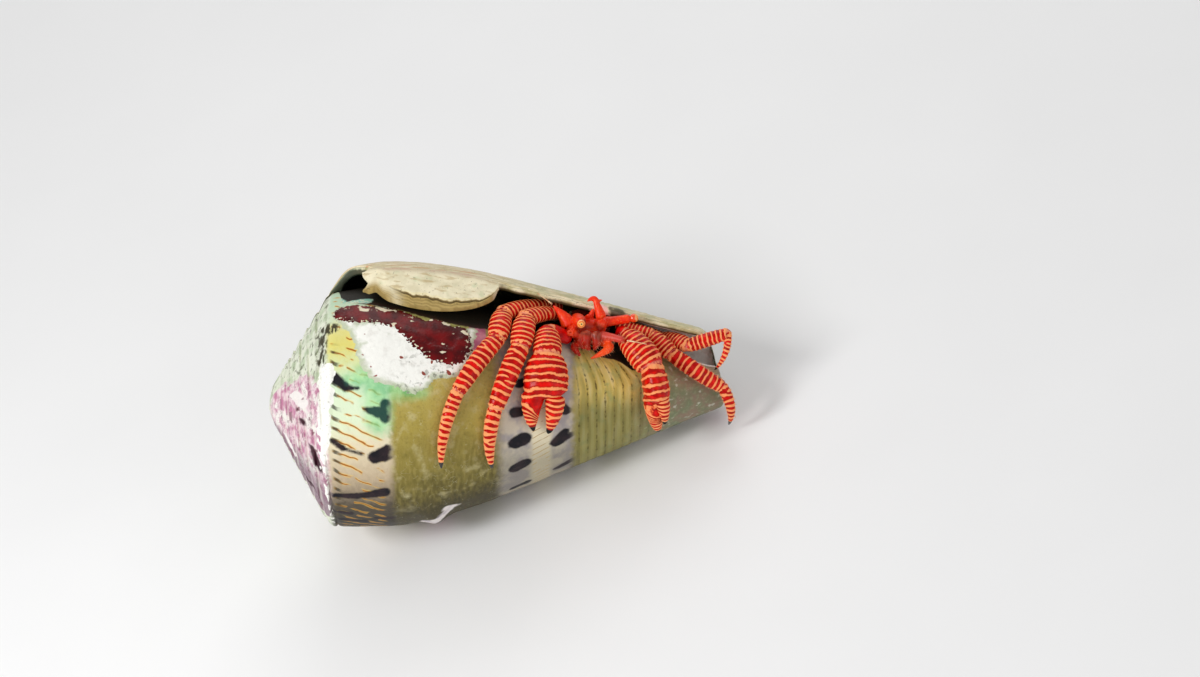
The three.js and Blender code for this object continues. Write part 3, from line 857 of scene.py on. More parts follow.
def shell_material(look):
    paint = Paint("worn_cone_shell")
    noise, mix, layer = paint.noise, paint.mix, paint.layer
    band, arc, kind = paint.parts(layer("lay", "Vector"))
    ragged = noise(1.1, 4) - 0.5
    broad = noise(8)
    cloudy = noise(2.8, 3)
    grain = noise(0.45)
    fibres = paint.streaks(band * 2.4, arc * 0.7, 1.6)

    def patch(name, fray, low, high):
        """1 inside a patch, with a frayed edge."""
        return (layer(name) + ragged * fray).step(low, high)

    # khaki skin, fibrous and uneven, with painted shade: the ramp darkens it towards the bottom
    rear = (arc + ragged * 6).fall(-44, -34)
    # the fringe along the bottom edge: partly grey growth, partly painted shade
    fringe_and_shade = (arc + ragged * 6).fall(-29, -20) * (1 - rear)
    scratch = paint.veins(2.6, 0.009) * noise(1.9, 1).step(0.5, 0.6)
    skin = paint.ramp(
        (arc + broad * 14 + 23) / 40,
        {
            0: (62, 56, 30), 0.3: (108, 98, 46), 0.6: (168, 150, 70), 0.85: (188, 170, 88),
            1: (160, 154, 90),
        },
    ).coats(
        (fibres.step(0.35, 0.75) * 0.45, look.skin),
        (cloudy.step(0.5, 0.72) * 0.45, (206, 196, 148)),
        (cloudy.fall(0.28, 0.42) * 0.45, (106, 96, 36)),
        (rear * 0.75, (150, 138, 80)),
        (grain.step(0.5, 0.72) * 0.3, (116, 102, 48)),
        (scratch * 0.32, (214, 208, 164)),
        (fringe_and_shade * 0.85, (68, 62, 40)),
        (scratch * fringe_and_shade * 0.4, (206, 204, 176)),
    )

    # bare bands with their lines and blotches
    # the bare shoulder band's own colours; its lowest stops, dark towards the bottom, are painted
    # shade
    shoulder_tone = paint.ramp(
        (arc + 30 + ragged * 4) / 55,
        {
            0: (52, 48, 40), 0.14: (88, 79, 66), 0.28: (196, 176, 146), 0.4: (230, 216, 184),
            0.48: (226, 238, 204), 0.62: (220, 238, 206), 0.69: (218, 226, 168),
            0.76: (224, 214, 118), 0.82: (224, 216, 136), 0.9: (206, 220, 190),
            1: (190, 214, 184),
        },
    ).coats((rear, (204, 186, 158)))
    middle = band.step(51.5, 53) * band.fall(55.6, 57)
    # the pale band darker towards the bottom: painted shade
    pale_band_painted_shade = (arc + broad * 5).fall(-19, -9) * (1 - rear)
    pale_tone = mix(cloudy.step(0.36, 0.62) * 0.85, look.cream, (160, 154, 158)).coats(
        (middle * 0.85, (240, 228, 194)),
        (pale_band_painted_shade * 0.5, (104, 98, 80)),
    )
    sway = (noise(3.2, 1) - 0.5) * 5
    wavy = (arc * 2.9 + band * 1.5 + sway).wave()
    broken = noise(2.4, 1).step(0.44, 0.52)
    on_shoulder = band.fall(22.6, 23.8) * band.step(13.2, 14)
    root = wavy.step(0.5, 0.85) * (band + ragged * 1.6).fall(14.2, 15.6) * arc.fall(11, 13)
    dash = (arc * 3.4 - band * 1.4 + sway * 0.4).wave()
    in_middle = band.step(52.2, 52.8) * band.fall(55.4, 56.4)
    bare = mix(band.step(30, 36), shoulder_tone, pale_tone).coats(
        (wavy.step(0.55, 0.95) * broken * on_shoulder * 0.5, (240, 206, 96)),
        (wavy.step(0.9, 0.99) * broken * on_shoulder, look.line),
        (root * on_shoulder * 0.85, (62, 58, 46)),
        (dash.step(0.93, 0.99) * broken * in_middle * 0.8, (176, 140, 70)),
    )
    edge = ragged * 1.6 + (noise(3.6, 1) - 0.5) * (0.8 + rear * 3)
    border = band + edge
    pale = border.step(44.6, 47.4) * border.fall(59.6, 61.6)
    bareness = border.fall(24.2, 26).largest(pale)
    teal = (layer("stain") + ragged).step(-0.2, 1)
    blotch_tone = mix(cloudy.step(0.4, 0.7), look.blotch, (50, 36, 40))
    base = mix(bareness, skin, bare).coats(
        (
            patch("stain", 2, -1.8, 1.8) * 0.75,
            mix(cloudy.step(0.35, 0.65), (96, 190, 120), (168, 226, 160)),
        ),
        (
            patch("blotch", 0.7 + rear * 1.8, -0.3, 0.3) * bareness,
            blotch_tone.coats((teal * 0.6, (36, 92, 78))),
        ),
        (
            patch("pearl", 1.2, -0.3, 0.4),
            mix(cloudy.step(0.4, 0.6), (236, 228, 226), (200, 190, 196)),
        ),
    )

    # cords near the mouth end, painted at the distance they are built at
    cord_gap = round(look.cord_gap / MM, 4)
    cord = (layer("cord") * (FULL_TURN / cord_gap)).wave()
    on_cords = band.step(60.4, 61.6) * band.fall(76, 82)
    ribbon = paint.streaks(layer("cord") * 0.9, arc * 0.07, 1, 1.5)
    green = mix(ribbon.step(0.3, 0.6), (190, 170, 86), (226, 202, 108)).coats(
        # pale streaks on the cords: painted highlights
        (ribbon.step(0.5, 0.72) * 0.8, (230, 214, 152)),
        (cloudy.step(0.5, 0.7) * 0.6, (152, 168, 104)),
        # darker towards the bottom: painted shade
        ((arc + broad * 6).fall(-9, 3) * 0.75, (104, 106, 62)),
    )
    specks = noise(0.6, 1).step(0.5, 0.6)
    line = (cord + ragged * 0.7).step(0.86, 1.02) * on_cords
    end_tone = mix(cloudy.step(0.35, 0.65), (120, 132, 104), (150, 124, 112)).coats(
        (fibres.step(0.5, 0.64) * 0.6, (150, 160, 130)),
        (noise(1.2, 3).step(0.62, 0.68) * 0.7, (216, 218, 204)),
    )
    base = base.coats(
        ((band + ragged * 2).step(60, 62.4), green),
        (line * (specks * 0.5 + 0.3), (84, 72, 30)),
        (cord.fall(0.05, 0.5) * on_cords * 0.12, (198, 196, 140)),
        (band.step(70, 82) * 0.85, end_tone),
    )

    # what grows on it
    crust_depth = layer("crust") + ragged * 2.2
    crusted = crust_depth.step(-0.1, 0.12)
    lower = arc.fall(7.5, 10.5) * band.step(25, 28)
    worn = noise(1, 3).step(0.5, 0.62) * crust_depth.fall(0.8, 4)
    chalk = mix(crust_depth.step(0.2, 1.6), (196, 204, 176), look.crust).coats(
        (worn * (lower * 0.8 + 0.06), (128, 130, 116)),
        (noise(2, 3).step(0.54, 0.7) * 0.3, (214, 208, 200)),
        (noise(1.4, 0).step(0.75, 0.79), (146, 70, 58)),
    )
    algae_depth = layer("algae") + ragged * 1.2 + (noise(0.55) - 0.5) * 1.6
    algae = algae_depth.step(-0.06, 0.06)
    crumbs = noise(0.75, 1).step(0.64, 0.67) * algae_depth.fall(0.5, 1.5)
    fleck = patch("fleck", 1.1, -0.04, 0.06).largest(crumbs)
    wet = mix(cloudy.step(0.35, 0.7), (70, 2, 6), look.algae)
    mauve = mix(cloudy.step(0.3, 0.6), (168, 92, 118), (206, 138, 152))
    base = base.coats(
        (patch("mauve", 0.8, -0.15, 0.15), mauve),
        (crusted, chalk),
        (algae, wet.coats((fleck, (232, 220, 192)))),
    )

    # the spire
    on_spire = (band + edge * 0.6).fall(12.2, 13.4)
    rays = paint.streaks(band * 0.3, arc * 1.6, 1.5)
    # towards the bottom the pink turns darker mauve with dark specks: partly painted shade
    low = arc.fall(-22, -12)
    pink = mix(noise(1.9, 4).step(0.42, 0.62), (232, 206, 212), look.coralline).coats(
        (noise(2.8).step(0.5, 0.62), (240, 234, 228)),
        (paint.veins(1.5, 0.03) * 0.45, (134, 90, 112)),
        (low * 0.85, (134, 110, 122)),
        (low * grain.step(0.58, 0.68) * 0.7, (92, 72, 84)),
    )
    suture = layer("step")
    # darker in the sutures: painted shade in the grooves
    in_suture = suture.fall(0.05, 0.36) * (grain.step(0.3, 0.6) * 0.4 + rear * 0.35)
    spire = mix(cloudy.step(0.42, 0.66), (226, 230, 210), (190, 204, 172)).coats(
        (noise(1.3, 4).fall(0.35, 0.44) * arc.step(3, 9) * 0.75, (96, 100, 74)),
        (rays.step(0.52, 0.66) * (rear * 0.5 + 0.15), (150, 140, 104)),
        (patch("coralline", 2.4, -0.3, 0.6), pink),
        (in_suture, (92, 84, 66)),
        # a pale stripe just before each suture, on the edge of the whorl: painted highlight
        (suture.step(0.6, 0.9) * 0.4, (242, 240, 228)),
        (patch("spire_white", 0.8, -0.1, 0.1), (240, 234, 230)),
        # darker in the pits and hollows: painted shade
        (layer("pit").step(0.4, 0.9) * 0.8, (128, 76, 92)),
        (patch("hollow", 0.6, -0.2, 0.5), (62, 24, 38)),
    )
    lobes = noise(1.7, 1) - 0.5
    scallop = (layer("scallop") + lobes * 2.2 + ragged * 0.6).step(-0.1, 0.1)
    base = base.coats(
        (on_spire, spire),
        (scallop, mix(grain.step(0.6, 0.7) * 0.6, look.crust, (186, 184, 170))),
        (patch("dark_step", 1.6, -0.4, 0.4) * fibres.step(0.4, 0.54), (66, 62, 42)),
    )

    # worn strip behind the lip, on the outside
    behind = arc * -1
    on_strip = (behind + ragged * 5).step(104, 111)
    streaks = paint.streaks(band * 0.35, arc * 1.4, 1.3)
    strip = mix(streaks.step(0.4, 0.6), (238, 224, 190), (208, 192, 144)).coats(
        (streaks.step(0.56, 0.66) * band.fall(44, 52) * 0.75, (226, 164, 128)),
        (band.step(46, 60) * cloudy.step(0.38, 0.62) * 0.6, (176, 176, 130)),
        (grain.step(0.62, 0.72) * 0.5, (120, 116, 96)),
    )
    base = base.coats((on_strip, strip))

    # inside of the mouth: its dark colours, and the dark olive of the hollow's roof, are partly
    # dark stain and partly painted shade
    deep = layer("deep") + ragged * 0.8
    near_end = band + ragged * 3
    ceiling = mix(cloudy.step(0.35, 0.6), (96, 100, 52), (60, 62, 34)).coats(
        (band.fall(20, 26), (30, 40, 30)),
        (band.fall(18, 22) * streaks.step(0.54, 0.62) * 0.5, (110, 122, 104)),
    )
    porcelain = mix(cloudy.step(0.45, 0.7), (255, 252, 246), (228, 210, 200))
    weed = mix(grain.step(0.45, 0.6), (140, 196, 176), (206, 214, 190))
    mouth = mix(deep.step(0, 2), (46, 28, 20), look.inside).coats(
        (near_end.step(74, 79), porcelain),
        (patch("weed", 1.4, -0.2, 0.3), weed),
        (kind.step(1.6, 1.9) * near_end.fall(73, 78), ceiling),
    )

    # the lip's own edge
    rear_end = (band + ragged * 2).fall(19, 24)
    across_lip = kind + ragged * 0.1 - rear_end * 0.13
    lip_tone = mix(streaks.step(0.42, 0.62), (234, 224, 188), (182, 172, 124)).coats(
        (grain.step(0.6, 0.7) * 0.4, (110, 108, 80)),
        (rear_end * 0.7, (176, 196, 160)),
        # a dark strip along the inner side of the lip's edge: painted shade
        (across_lip.fall(2.42, 2.54) * 0.9, mix(rear_end, (72, 64, 34), (34, 40, 30))),
    )
    at_lip = behind.step(114.8, 116.4)
    spotted = band + ragged * 3.5
    rosy = spotted.step(66.6, 67.2) * spotted.fall(69.6, 70.2)
    stained = spotted.step(70, 70.8) * spotted.fall(72.8, 74)

    # the side that is turned away: growth lines and scattered crusts
    growth = paint.streaks(band * 0.2, arc * 2.4, 1.3)
    outside = rear * kind.fall(0.5, 1) * (1 - on_strip)
    film = noise(7.5, 5)
    white_film = mix(grain.step(0.4, 0.6), (228, 222, 210), (196, 190, 172))
    pink_film = mix(grain.step(0.4, 0.6), (196, 148, 166), (168, 112, 138))
    final = base.coats(
        (deep.step(-0.3, 0.3), mouth),
        (kind.step(2.2, 2.28), lip_tone),
        (at_lip * rosy, (246, 196, 184)),
        (at_lip * stained * 0.8, (56, 48, 34)),
        (growth.step(0.5, 0.68) * outside * 0.3, (96, 84, 52)),
        (film.step(0.6, 0.615) * outside, white_film),
        (film.fall(0.365, 0.38) * outside, pink_film),
    )

    gloss = 0.5 - algae * (1 - fleck) * 0.2 + crusted * (1 - algae) * 0.3
    height = (
        fibres * 0.35 + grain * 0.35 + noise(0.25, 1) * 0.15 + cord * 0.25 * on_cords
        + scratch * 0.2 + algae * (0.7 - fleck * 0.5)
        + crust_depth.step(-0.1, 0.5) * noise(0.8, 3) * 0.9
    )
    return paint.finish(final, gloss, height, depth=0.12, specular_ior_level=0.2)


# ---------------------------------------------------------------- limbs

SKIN_INSET = 0.985  # share of a limb's half width that is left under its rings
JOINT_RIM = 0.05
JOINT_GROOVE = 0.13
FORK_GAP = 5.5  # mm between the places where rings fork


@dataclass
class Segment:
    """One stretch of a limb between two joints."""

    path: list
    widths: tuple
    depth: float = 1.0
    bend: float = 0.0
    span: tuple = (0.0, 1.0)
    neck: float = 0.93
    ring_gap: float = 1.5
    ring_share: tuple = (0.44, 0.44)
    margin: float = 0.0  # how much of its edges is orange all along
    jointed: bool = True

    def centre(self, t):
        t = lerp(*self.span, t)
        along, spin, radius = (through(marks, t) for marks in zip(*self.path))
        return place(along + 4 * self.bend * t * (1 - t), spin, radius)

    def direction(self, t):
        return unit(self.centre(t + 0.02) - self.centre(t - 0.02))

    def length(self):
        line = self.centre(np.linspace(0, 1, 25))
        return float(np.linalg.norm(np.diff(line, axis=0), axis=1).sum())

    def half(self, t):
        narrowing = lerp(self.neck, 1, ease(np.minimum(t, 1 - t), -0.02, 0.25))
        return through(self.widths, np.clip(t, 0, 1)) / 2 * narrowing


def forks(s, around, girth, length, seed):
    """What is added to the phase of the rings, so that some of them fork."""
    draw = np.random.default_rng(seed)
    total = 0
    for start in np.arange(2.5, length - 3, FORK_GAP):
        places = start + draw.uniform(0, 3, 2), draw.uniform(0, FULL_TURN, 2)
        first, second = [
            np.sin((around - turn + 1j * (s - at) / girth) / 2) for at, turn in zip(*places)
        ]
        total = total + np.angle(first / second) / FULL_TURN
    return total


def ring_edge(share):
    """What is taken off a wave from 0 to 1, so that this share of it stays over 0."""
    return 0.5 * (1 + np.cos(math.pi * share))


def ring_wave(ring):
    return ease(ring, -0.22, 0.28)


class Limb:
    """Rings of points along a row of segments, as one skin."""

    def __init__(
        self, segments, roll=0.0, sides=36, per_mm=11, ring_height=0.0, ends=(0.6, 0.6), seed=0,
        blend=0.45,
    ):
        lengths = np.array([s.length() for s in segments])
        starts = np.concatenate([[0], np.cumsum(lengths)])
        count = max(12, int(starts[-1] * per_mm))
        s = np.linspace(0, starts[-1], count)
        rises = [np.ones(count)]
        rises += [ease(s, joint - blend, joint + blend) for joint in starts[1:-1]]
        rises.append(np.zeros(count))
        around = round_trip(sides)
        self.parts = []
        centre, tangent = np.zeros((count, 3)), np.zeros((count, 3))
        half, depth, level, margin = np.zeros((4, count))
        for k, segment in enumerate(segments):
            share = rises[k] - rises[k + 1]
            t = (s - starts[k]) / lengths[k]
            self.parts.append((segment, share, t, lengths[k]))
            centre += share[:, None] * segment.centre(t)
            tangent += share[:, None] * segment.direction(t)
            half += share * segment.half(t)
            depth += share * segment.depth
            level += share * lerp(*segment.ring_share, np.clip(t, 0, 1))
            margin += share * segment.margin * ease(t, 0, 0.3)
        self.centre, self.half, self.s = centre, half, s
        across, up = self.directions(unit(tangent), math.radians(roll))
        caps = self.caps(ends)
        soft, knuckle, swell = self.joints(segments, starts[1:-1])
        cosine, sine = np.cos(around), np.sin(around)
        out = across[:, None] * cosine[:, None] + up[:, None] * sine[:, None]
        wave, self.ring = self.rings(around, out, level, margin, seed)
        body = (half * SKIN_INSET + swell) * caps
        relief = ring_height * caps[:, None] * wave * (1 - soft)[:, None]
        wide = body[:, None] + relief
        tall = (body * depth)[:, None] + relief
        self.points = (
            centre[:, None]
            + across[:, None] * (wide * cosine)[:, :, None]
            + up[:, None] * (tall * sine)[:, :, None]
        )
        rows = (soft, knuckle, s / starts[-1])
        self.soft, self.knuckle, self.level = (
            np.repeat(values[:, None], sides, axis=1) for values in rows
        )
        self.hair = ease(np.abs(cosine), 0.8, 1.0) * ease(self.level, 0.35, 0.6)

    def directions(self, tangent, turn):
        """The directions across and up at each place, turned by that angle."""
        across = unit(np.cross(unit(self.centre * [0, 1, 1]), tangent))
        across = across * math.cos(turn) + np.cross(tangent, across) * math.sin(turn)
        return across, np.cross(tangent, across)

    def caps(self, ends):
        """Share of the width that the rounded ends leave at each place."""
        caps = np.ones(len(self.s))
        for reach, gap in ((ends[0], self.s), (ends[1], self.s[-1] - self.s)):
            if reach:
                limit = np.maximum(reach * self.half, 1e-3)
                caps *= np.sqrt(np.clip(1 - (1 - np.clip(gap / limit, 0, 1)) ** 2, 0, 1))
        return caps

    def joints(self, segments, joints):
        """How soft and how knobbly the skin is at each place, and what it swells by."""
        soft, knuckle, swell = np.zeros((3, len(self.s)))
        for segment, joint in zip(segments, joints):
            if segment.jointed:
                gap = self.s - joint
                soft = np.maximum(soft, bell(gap, 0.17))
                knuckle = np.maximum(knuckle, bell(gap, 0.8))
                swell += JOINT_RIM * bell(gap + 0.5, 0.3) - JOINT_GROOVE * bell(gap, 0.16)
        return soft, knuckle, swell

    def rings(self, around, out, level, margin, seed):
        """Height of the rings from 0 to 1, and a value that is over 0 on them."""
        middle = self.centre[:, None] + out * self.half[:, None, None]
        wobble = 0.3 * rough(middle, 2.6, 20 + seed) + 0.1 * rough(middle, 0.9, 30 + seed)
        girth = max(self.half.mean(), 0.5)
        wobble = wobble + forks(self.s[:, None], around, girth, self.s[-1], seed)
        ring = np.zeros(middle.shape[:2])
        for segment, share, t, length in self.parts:
            count = max(1, round(length / segment.ring_gap))
            phase = ((t - 1) * count)[:, None] + wobble + 0.4
            ring += share[:, None] * (0.5 + 0.5 * np.cos(FULL_TURN * phase))
        edges = margin[:, None] * np.abs(np.cos(around)) ** 3
        ring = ring - ring_edge(np.clip(level[:, None] + edges, 0, 1))
        return ring_wave(ring) * (0.7 + 0.3 * rough(middle, 0.5, 40 + seed)), ring

    def form(self):
        return closed_tube(self.points, self.centre[0], self.centre[-1])

    def layers(self, *names):
        """Layers of that name, with a value for each pole."""
        found = {}
        for name in names:
            values = getattr(self, name)
            found[name] = np.concatenate([values.ravel(), [values[0].mean(), values[-1].mean()]])
        return found

    def nearest(self, points):
        """How far along the centre line's nearest place is, and how near in half widths."""
        found, nearness = np.empty((2, len(points)))
        for first in range(0, len(points), 4000):
            some = slice(first, first + 4000)
            gaps = np.linalg.norm(points[some, None] - self.centre, axis=2)
            best = gaps.argmin(axis=1)
            found[some] = self.s[best]
            nearness[some] = gaps.min(axis=1) / self.half[best]
        return found, nearness


def vertex_normals(points, faces):
    corners = np.array([face[:3] for face in faces])
    a, b, c = (points[corners[:, k]] for k in range(3))
    normal = np.cross(b - a, c - a)
    total = np.zeros_like(points)
    for k in range(len(faces[0])):
        np.add.at(total, np.array([face[k % len(face)] for face in faces]), normal)
    return total / np.maximum(np.linalg.norm(total, axis=1, keepdims=True), 1e-12)


def melted_form(forms, voxel, smoothing):
    """One continuous skin over several overlapping forms."""
    points, faces, first = [], [], 0
    for these, those in forms:
        points.append(these)
        faces.extend([[first + i for i in face] for face in those])
        first += len(these)
    mesh = bpy.data.meshes.new("draft")
    mesh.from_pydata(np.concatenate(points), [], faces)
    mend(mesh, merge=False)
    draft = link_object("draft", mesh)
    remesh = draft.modifiers.new("skin", "REMESH")
    remesh.mode = "VOXEL"
    remesh.voxel_size = voxel
    smooth = draft.modifiers.new("smooth", "SMOOTH")
    smooth.factor = 0.5
    smooth.iterations = smoothing
    made = evaluated_mesh(draft)
    bpy.data.objects.remove(draft)
    return np.array([v.co for v in made.vertices]), [list(p.vertices) for p in made.polygons]


WALKING_LEGS = {
    "right_rear": {
        "width": 3.7, "depth": 0.78, "bend": -1,
        "joints": [
            (59, 87, 16.2), (47.8, 54, 19.3), (46.5, 33, 19.8), (38.3, 2.5, 22.7),
            (34, -35.5, 23.7),
        ],
    },
    "right_front": {
        "width": 4, "depth": 0.72, "bend": -0.8,
        "joints": [
            (59, 71.5, 15.8), (52.2, 50, 18.8), (50.9, 27.5, 19.2), (45.3, -7.5, 20.7),
            (43.8, -43, 21.2),
        ],
    },
    "left_front": {
        "width": 3.2, "depth": 0.85, "bend": 1,
        "joints": [
            (69.8, 68, 13), (76.7, 59.5, 10.9), (80.3, 36.3, 9.4), (89.9, -12, 7.4),
            (90.8, -76, 9.5),
        ],
        "gap": 0.82, "margin": 0.1, "tip": 0.83, "bristle": 0.45,
    },
    "left_rear": {
        "width": 3.3, "depth": 0.74, "bend": 0.8, "slim": 0.62,
        "joints": [
            (70.1, 83, 12.7), (78.6, 79, 9), (83.8, 50.5, 9), (91.7, 51, 11.4), (88.6, 16, 6.5),
        ],
        "gap": 0.66, "margin": 0.1,
    },
}
SEGMENT_WIDTHS = {
    "merus": (0.8, 0.95, 1.1),
    "carpus": (0.95, 1.17, 1),
    "propodus": (0.98, 1, 0.82),
    "dactyl": (0.72, 0.6, 0.24),
}
RING_GAPS = {"merus": 0.95, "carpus": 1.02, "propodus": 1.35, "dactyl": 1.2}
TIP_START = 0.9  # share of the last segment where its black tip starts, unless the leg says more
TIP_WIDTHS = (0.27, 0.2, 0.05)  # of the black tip, as shares of the leg's width


def leg_segments(leg):
    segments = []
    for index, (name, widths) in enumerate(SEGMENT_WIDTHS.items()):
        last = name == "dactyl"
        slim = leg.get("slim", 1) if last else 1
        segments.append(
            Segment(
                path=leg["joints"][index : index + 2],
                widths=tuple(w * leg["width"] * slim for w in widths),
                depth=leg["depth"],
                bend=leg["bend"] if last else 0,
                span=(0, leg.get("tip", TIP_START)) if last else (0, 1),
                neck=0.97 if last else 0.92,
                ring_gap=RING_GAPS[name] * leg.get("gap", 1),
                ring_share=(0.45, 0.56) if last else (0.4, 0.4),
                margin=leg.get("margin", 0.4) if last else 0,
            )
        )
    return segments


def claw_part(path, widths, depth, gap, bend=0.0, **more):
    return Segment(path, widths, depth, bend, ring_gap=gap, **more)


CLAWS = {
    "right": {
        "roll": 0,
        "arm": claw_part([(60.8, 43.5, 14.1), (57.2, 43, 16.8)], (2.6, 3.3, 3.6), 0.85, 0.9),
        "wrist": claw_part([(56.2, 41.5, 17.4), (56, 23.5, 17.9)], (4.2, 5.3, 5.8), 0.82, 0.95),
        "palm": claw_part(
            [(55.9, 21.5, 18), (55.1, -5, 18.7)], (6.8, 8.8, 7.8), 0.6, 1.3, jointed=False
        ),
        "fixed": claw_part(
            [(53.15, 1, 18.7), (52.4, -25, 18.3)], (4.9, 3.4, 0.5), 0.85, 1.0, -0.55, neck=1
        ),
        "finger": claw_part(
            [(57.05, -2.6, 18.4), (55.1, -28.5, 17.6)], (4.1, 3.1, 0.5), 0.85, 1.0, 0.4, neck=1,
            margin=0.2,
        ),
    },
    "left": {
        "roll": 90,
        "arm": claw_part([(69.8, 55, 13.1), (71.3, 50.5, 12.9)], (2.8, 3.1, 3.4), 0.9, 0.9),
        "wrist": claw_part([(71.6, 48.5, 12.9), (76.1, 16, 12.9)], (4, 5.4, 5.3), 1.1, 1.0),
        "palm": claw_part(
            [(76.4, 12.5, 13), (77.2, -17, 13.3)], (6.6, 7.8, 6.8), 0.68, 1.3, jointed=False
        ),
        "fixed": claw_part(
            [(76.1, -7, 12.6), (76.9, -55, 11.7)], (4, 3.1, 0.5), 1, 0.9, -0.2, neck=1
        ),
        "finger": claw_part(
            [(77.7, -8, 14.6), (78.1, -36, 13.6)], (2.6, 2.3, 0.5), 1, 0.85, 0.2, neck=1,
            margin=0.15,
        ),
    },
}
HAND = ("arm", "wrist", "palm")
FINGER_BLACK = (0.83, 0.87)  # shares of a finger between which it turns black


def hand_form(claw, ring_height, seed):
    """Arm, wrist and palm with the fixed finger, as one skin with raised rings."""
    shared = {"roll": claw["roll"], "per_mm": 8}
    segments = [claw[name] for name in HAND]
    chain = Limb(segments, sides=40, ends=(0.6, 0.5), blend=0.6, **shared)
    finger = Limb([claw["fixed"]], sides=28, ends=(0.7, 0.9), **shared)
    points, faces = melted_form([chain.form(), finger.form()], voxel=0.13, smoothing=4)
    chain_s, chain_near = chain.nearest(points)
    finger_s, finger_near = finger.nearest(points)
    on_finger = ease(chain_near - finger_near, -0.15, 0.5)
    wobble = 0.26 * rough(points, 2.6, 60 + seed) + 0.1 * rough(points, 0.9, 70 + seed)
    starts = np.concatenate([[0], np.cumsum([part[3] for part in chain.parts])])
    gaps = [segment.ring_gap for segment in segments]
    knots = np.concatenate([[0], np.cumsum(np.diff(starts) / gaps)])
    phase = np.interp(chain_s, starts, knots)
    ahead = knots[-1] + (finger_s - 2.0) / claw["fixed"].ring_gap
    phase = lerp(phase, ahead, on_finger) + wobble
    soft = bell(chain_s - starts[2], 0.2) * (1 - on_finger)
    soft = np.maximum(soft, bell(chain_s - starts[1], 0.2))
    share = np.where(on_finger > 0.5, 0.48, 0.39)
    ring = 0.5 + 0.5 * np.cos(FULL_TURN * phase) - ring_edge(share)
    ring = lerp(ring, -0.5, 1 - ease(chain_s, starts[1] - 1.2, starts[1] - 0.2))
    black = ease(finger_s / finger.s[-1], *FINGER_BLACK) * ease(on_finger, 0.4, 0.6)
    lift = ring_height * ring_wave(ring) * (1 - black) * (1 - soft) - 0.07 * soft
    points = points + vertex_normals(points, faces) * lift[:, None]
    wrist, palm = bell(chain_s - starts[2], 0.6), bell(chain_s - starts[3], 0.8)
    knuckle = np.maximum(0.7 * wrist, 0.2 * palm * (1 - on_finger))
    return (points, faces), {"ring": ring, "soft": soft, "knuckle": knuckle, "black": black}


def limb_material(look):
    paint = Paint("ringed_carapace")
    noise, mix, layer = paint.noise, paint.mix, paint.layer
    knobbly = noise(0.75) - 0.42
    ring = layer("ring") + (noise(0.5) - 0.5) * 0.4 + layer("knuckle") * knobbly * 5
    mask = ring.step(-0.08, 0.1)
    red = mix(noise(1.6).step(0.35, 0.7), (170, 4, 3), look.red)
    # each ring paler towards its crest: partly its own colour, partly painted highlight
    orange = mix(ring.step(0, 0.32), (248, 104, 48), look.ring)
    base = red.coats(
        # darker red beside each ring: painted shadow at the rings' edges
        (ring.step(-0.4, -0.05) * 0.5, (134, 0, 0)),
        (mask, orange.coats((noise(0.6).step(0.5, 0.75) * 0.5, (255, 172, 112)))),
        (layer("soft").step(0.45, 0.95) * 0.55, look.joint),
        (layer("black"), look.claw),
    )
    height = mask * 0.6 + noise(0.2, 1) * 0.25
    return paint.finish(
        base, 0.24 + mask * 0.16, height, depth=0.05, specular_ior_level=0.16,
        coat_weight=0.03, coat_roughness=0.1,
    )


def black_material(look):
    paint = Paint("black_claw_tip")
    streak = paint.noise(0.4)
    base = paint.mix(streak.step(0.45, 0.8) * 0.5, look.claw, (70, 48, 40))
    return paint.finish(base, 0.22, streak, depth=0.03, coat_weight=0.3, coat_roughness=0.1)


# ---------------------------------------------------------------- head


def feature(*path, widths):
    """A stretch of the face, as thick at its ends as its widths say."""
    return Segment(path, widths, neck=1)


FACE = {
    "eyestalk_right": feature((62.2, 63, 15), (62.9, 45.5, 17.8), widths=(2.9, 2.7, 2.2)),
    "eyestalk_left": feature((66.2, 57.6, 14.9), (72.9, 56.2, 15.7), widths=(2.6, 1.85, 1.85)),
    "antennule_right": feature((64.6, 61, 15), (65.6, 62.5, 17.4), widths=(1.6, 1.2, 0.5)),
    "antennule_left": feature(
        (67.2, 51.5, 17), (66.5, 56.5, 18.8), (66.2, 59.2, 20.1), widths=(2.6, 1.5, 1.35)
    ),
    "antenna_right": feature(
        (60.7, 54.6, 15.2), (59.6, 57.4, 17), (57.7, 60, 19.2), widths=(3.6, 2.2, 0.25)
    ),
    "antenna_left": feature((66.6, 44.5, 14.4), (71.2, 34.5, 15.6), widths=(2.1, 1.6, 1.25)),
    "maxilliped_right": feature(
        (62.1, 39.5, 13.4), (61.4, 34.5, 13.9), (62.5, 28, 13.4), widths=(1.7, 1.5, 0.5)
    ),
    "maxilliped_left": feature(
        (67.3, 39.5, 12.9), (67.9, 32, 13.8), (64.3, 25.5, 13.2), widths=(1.8, 1.75, 0.3)
    ),
}
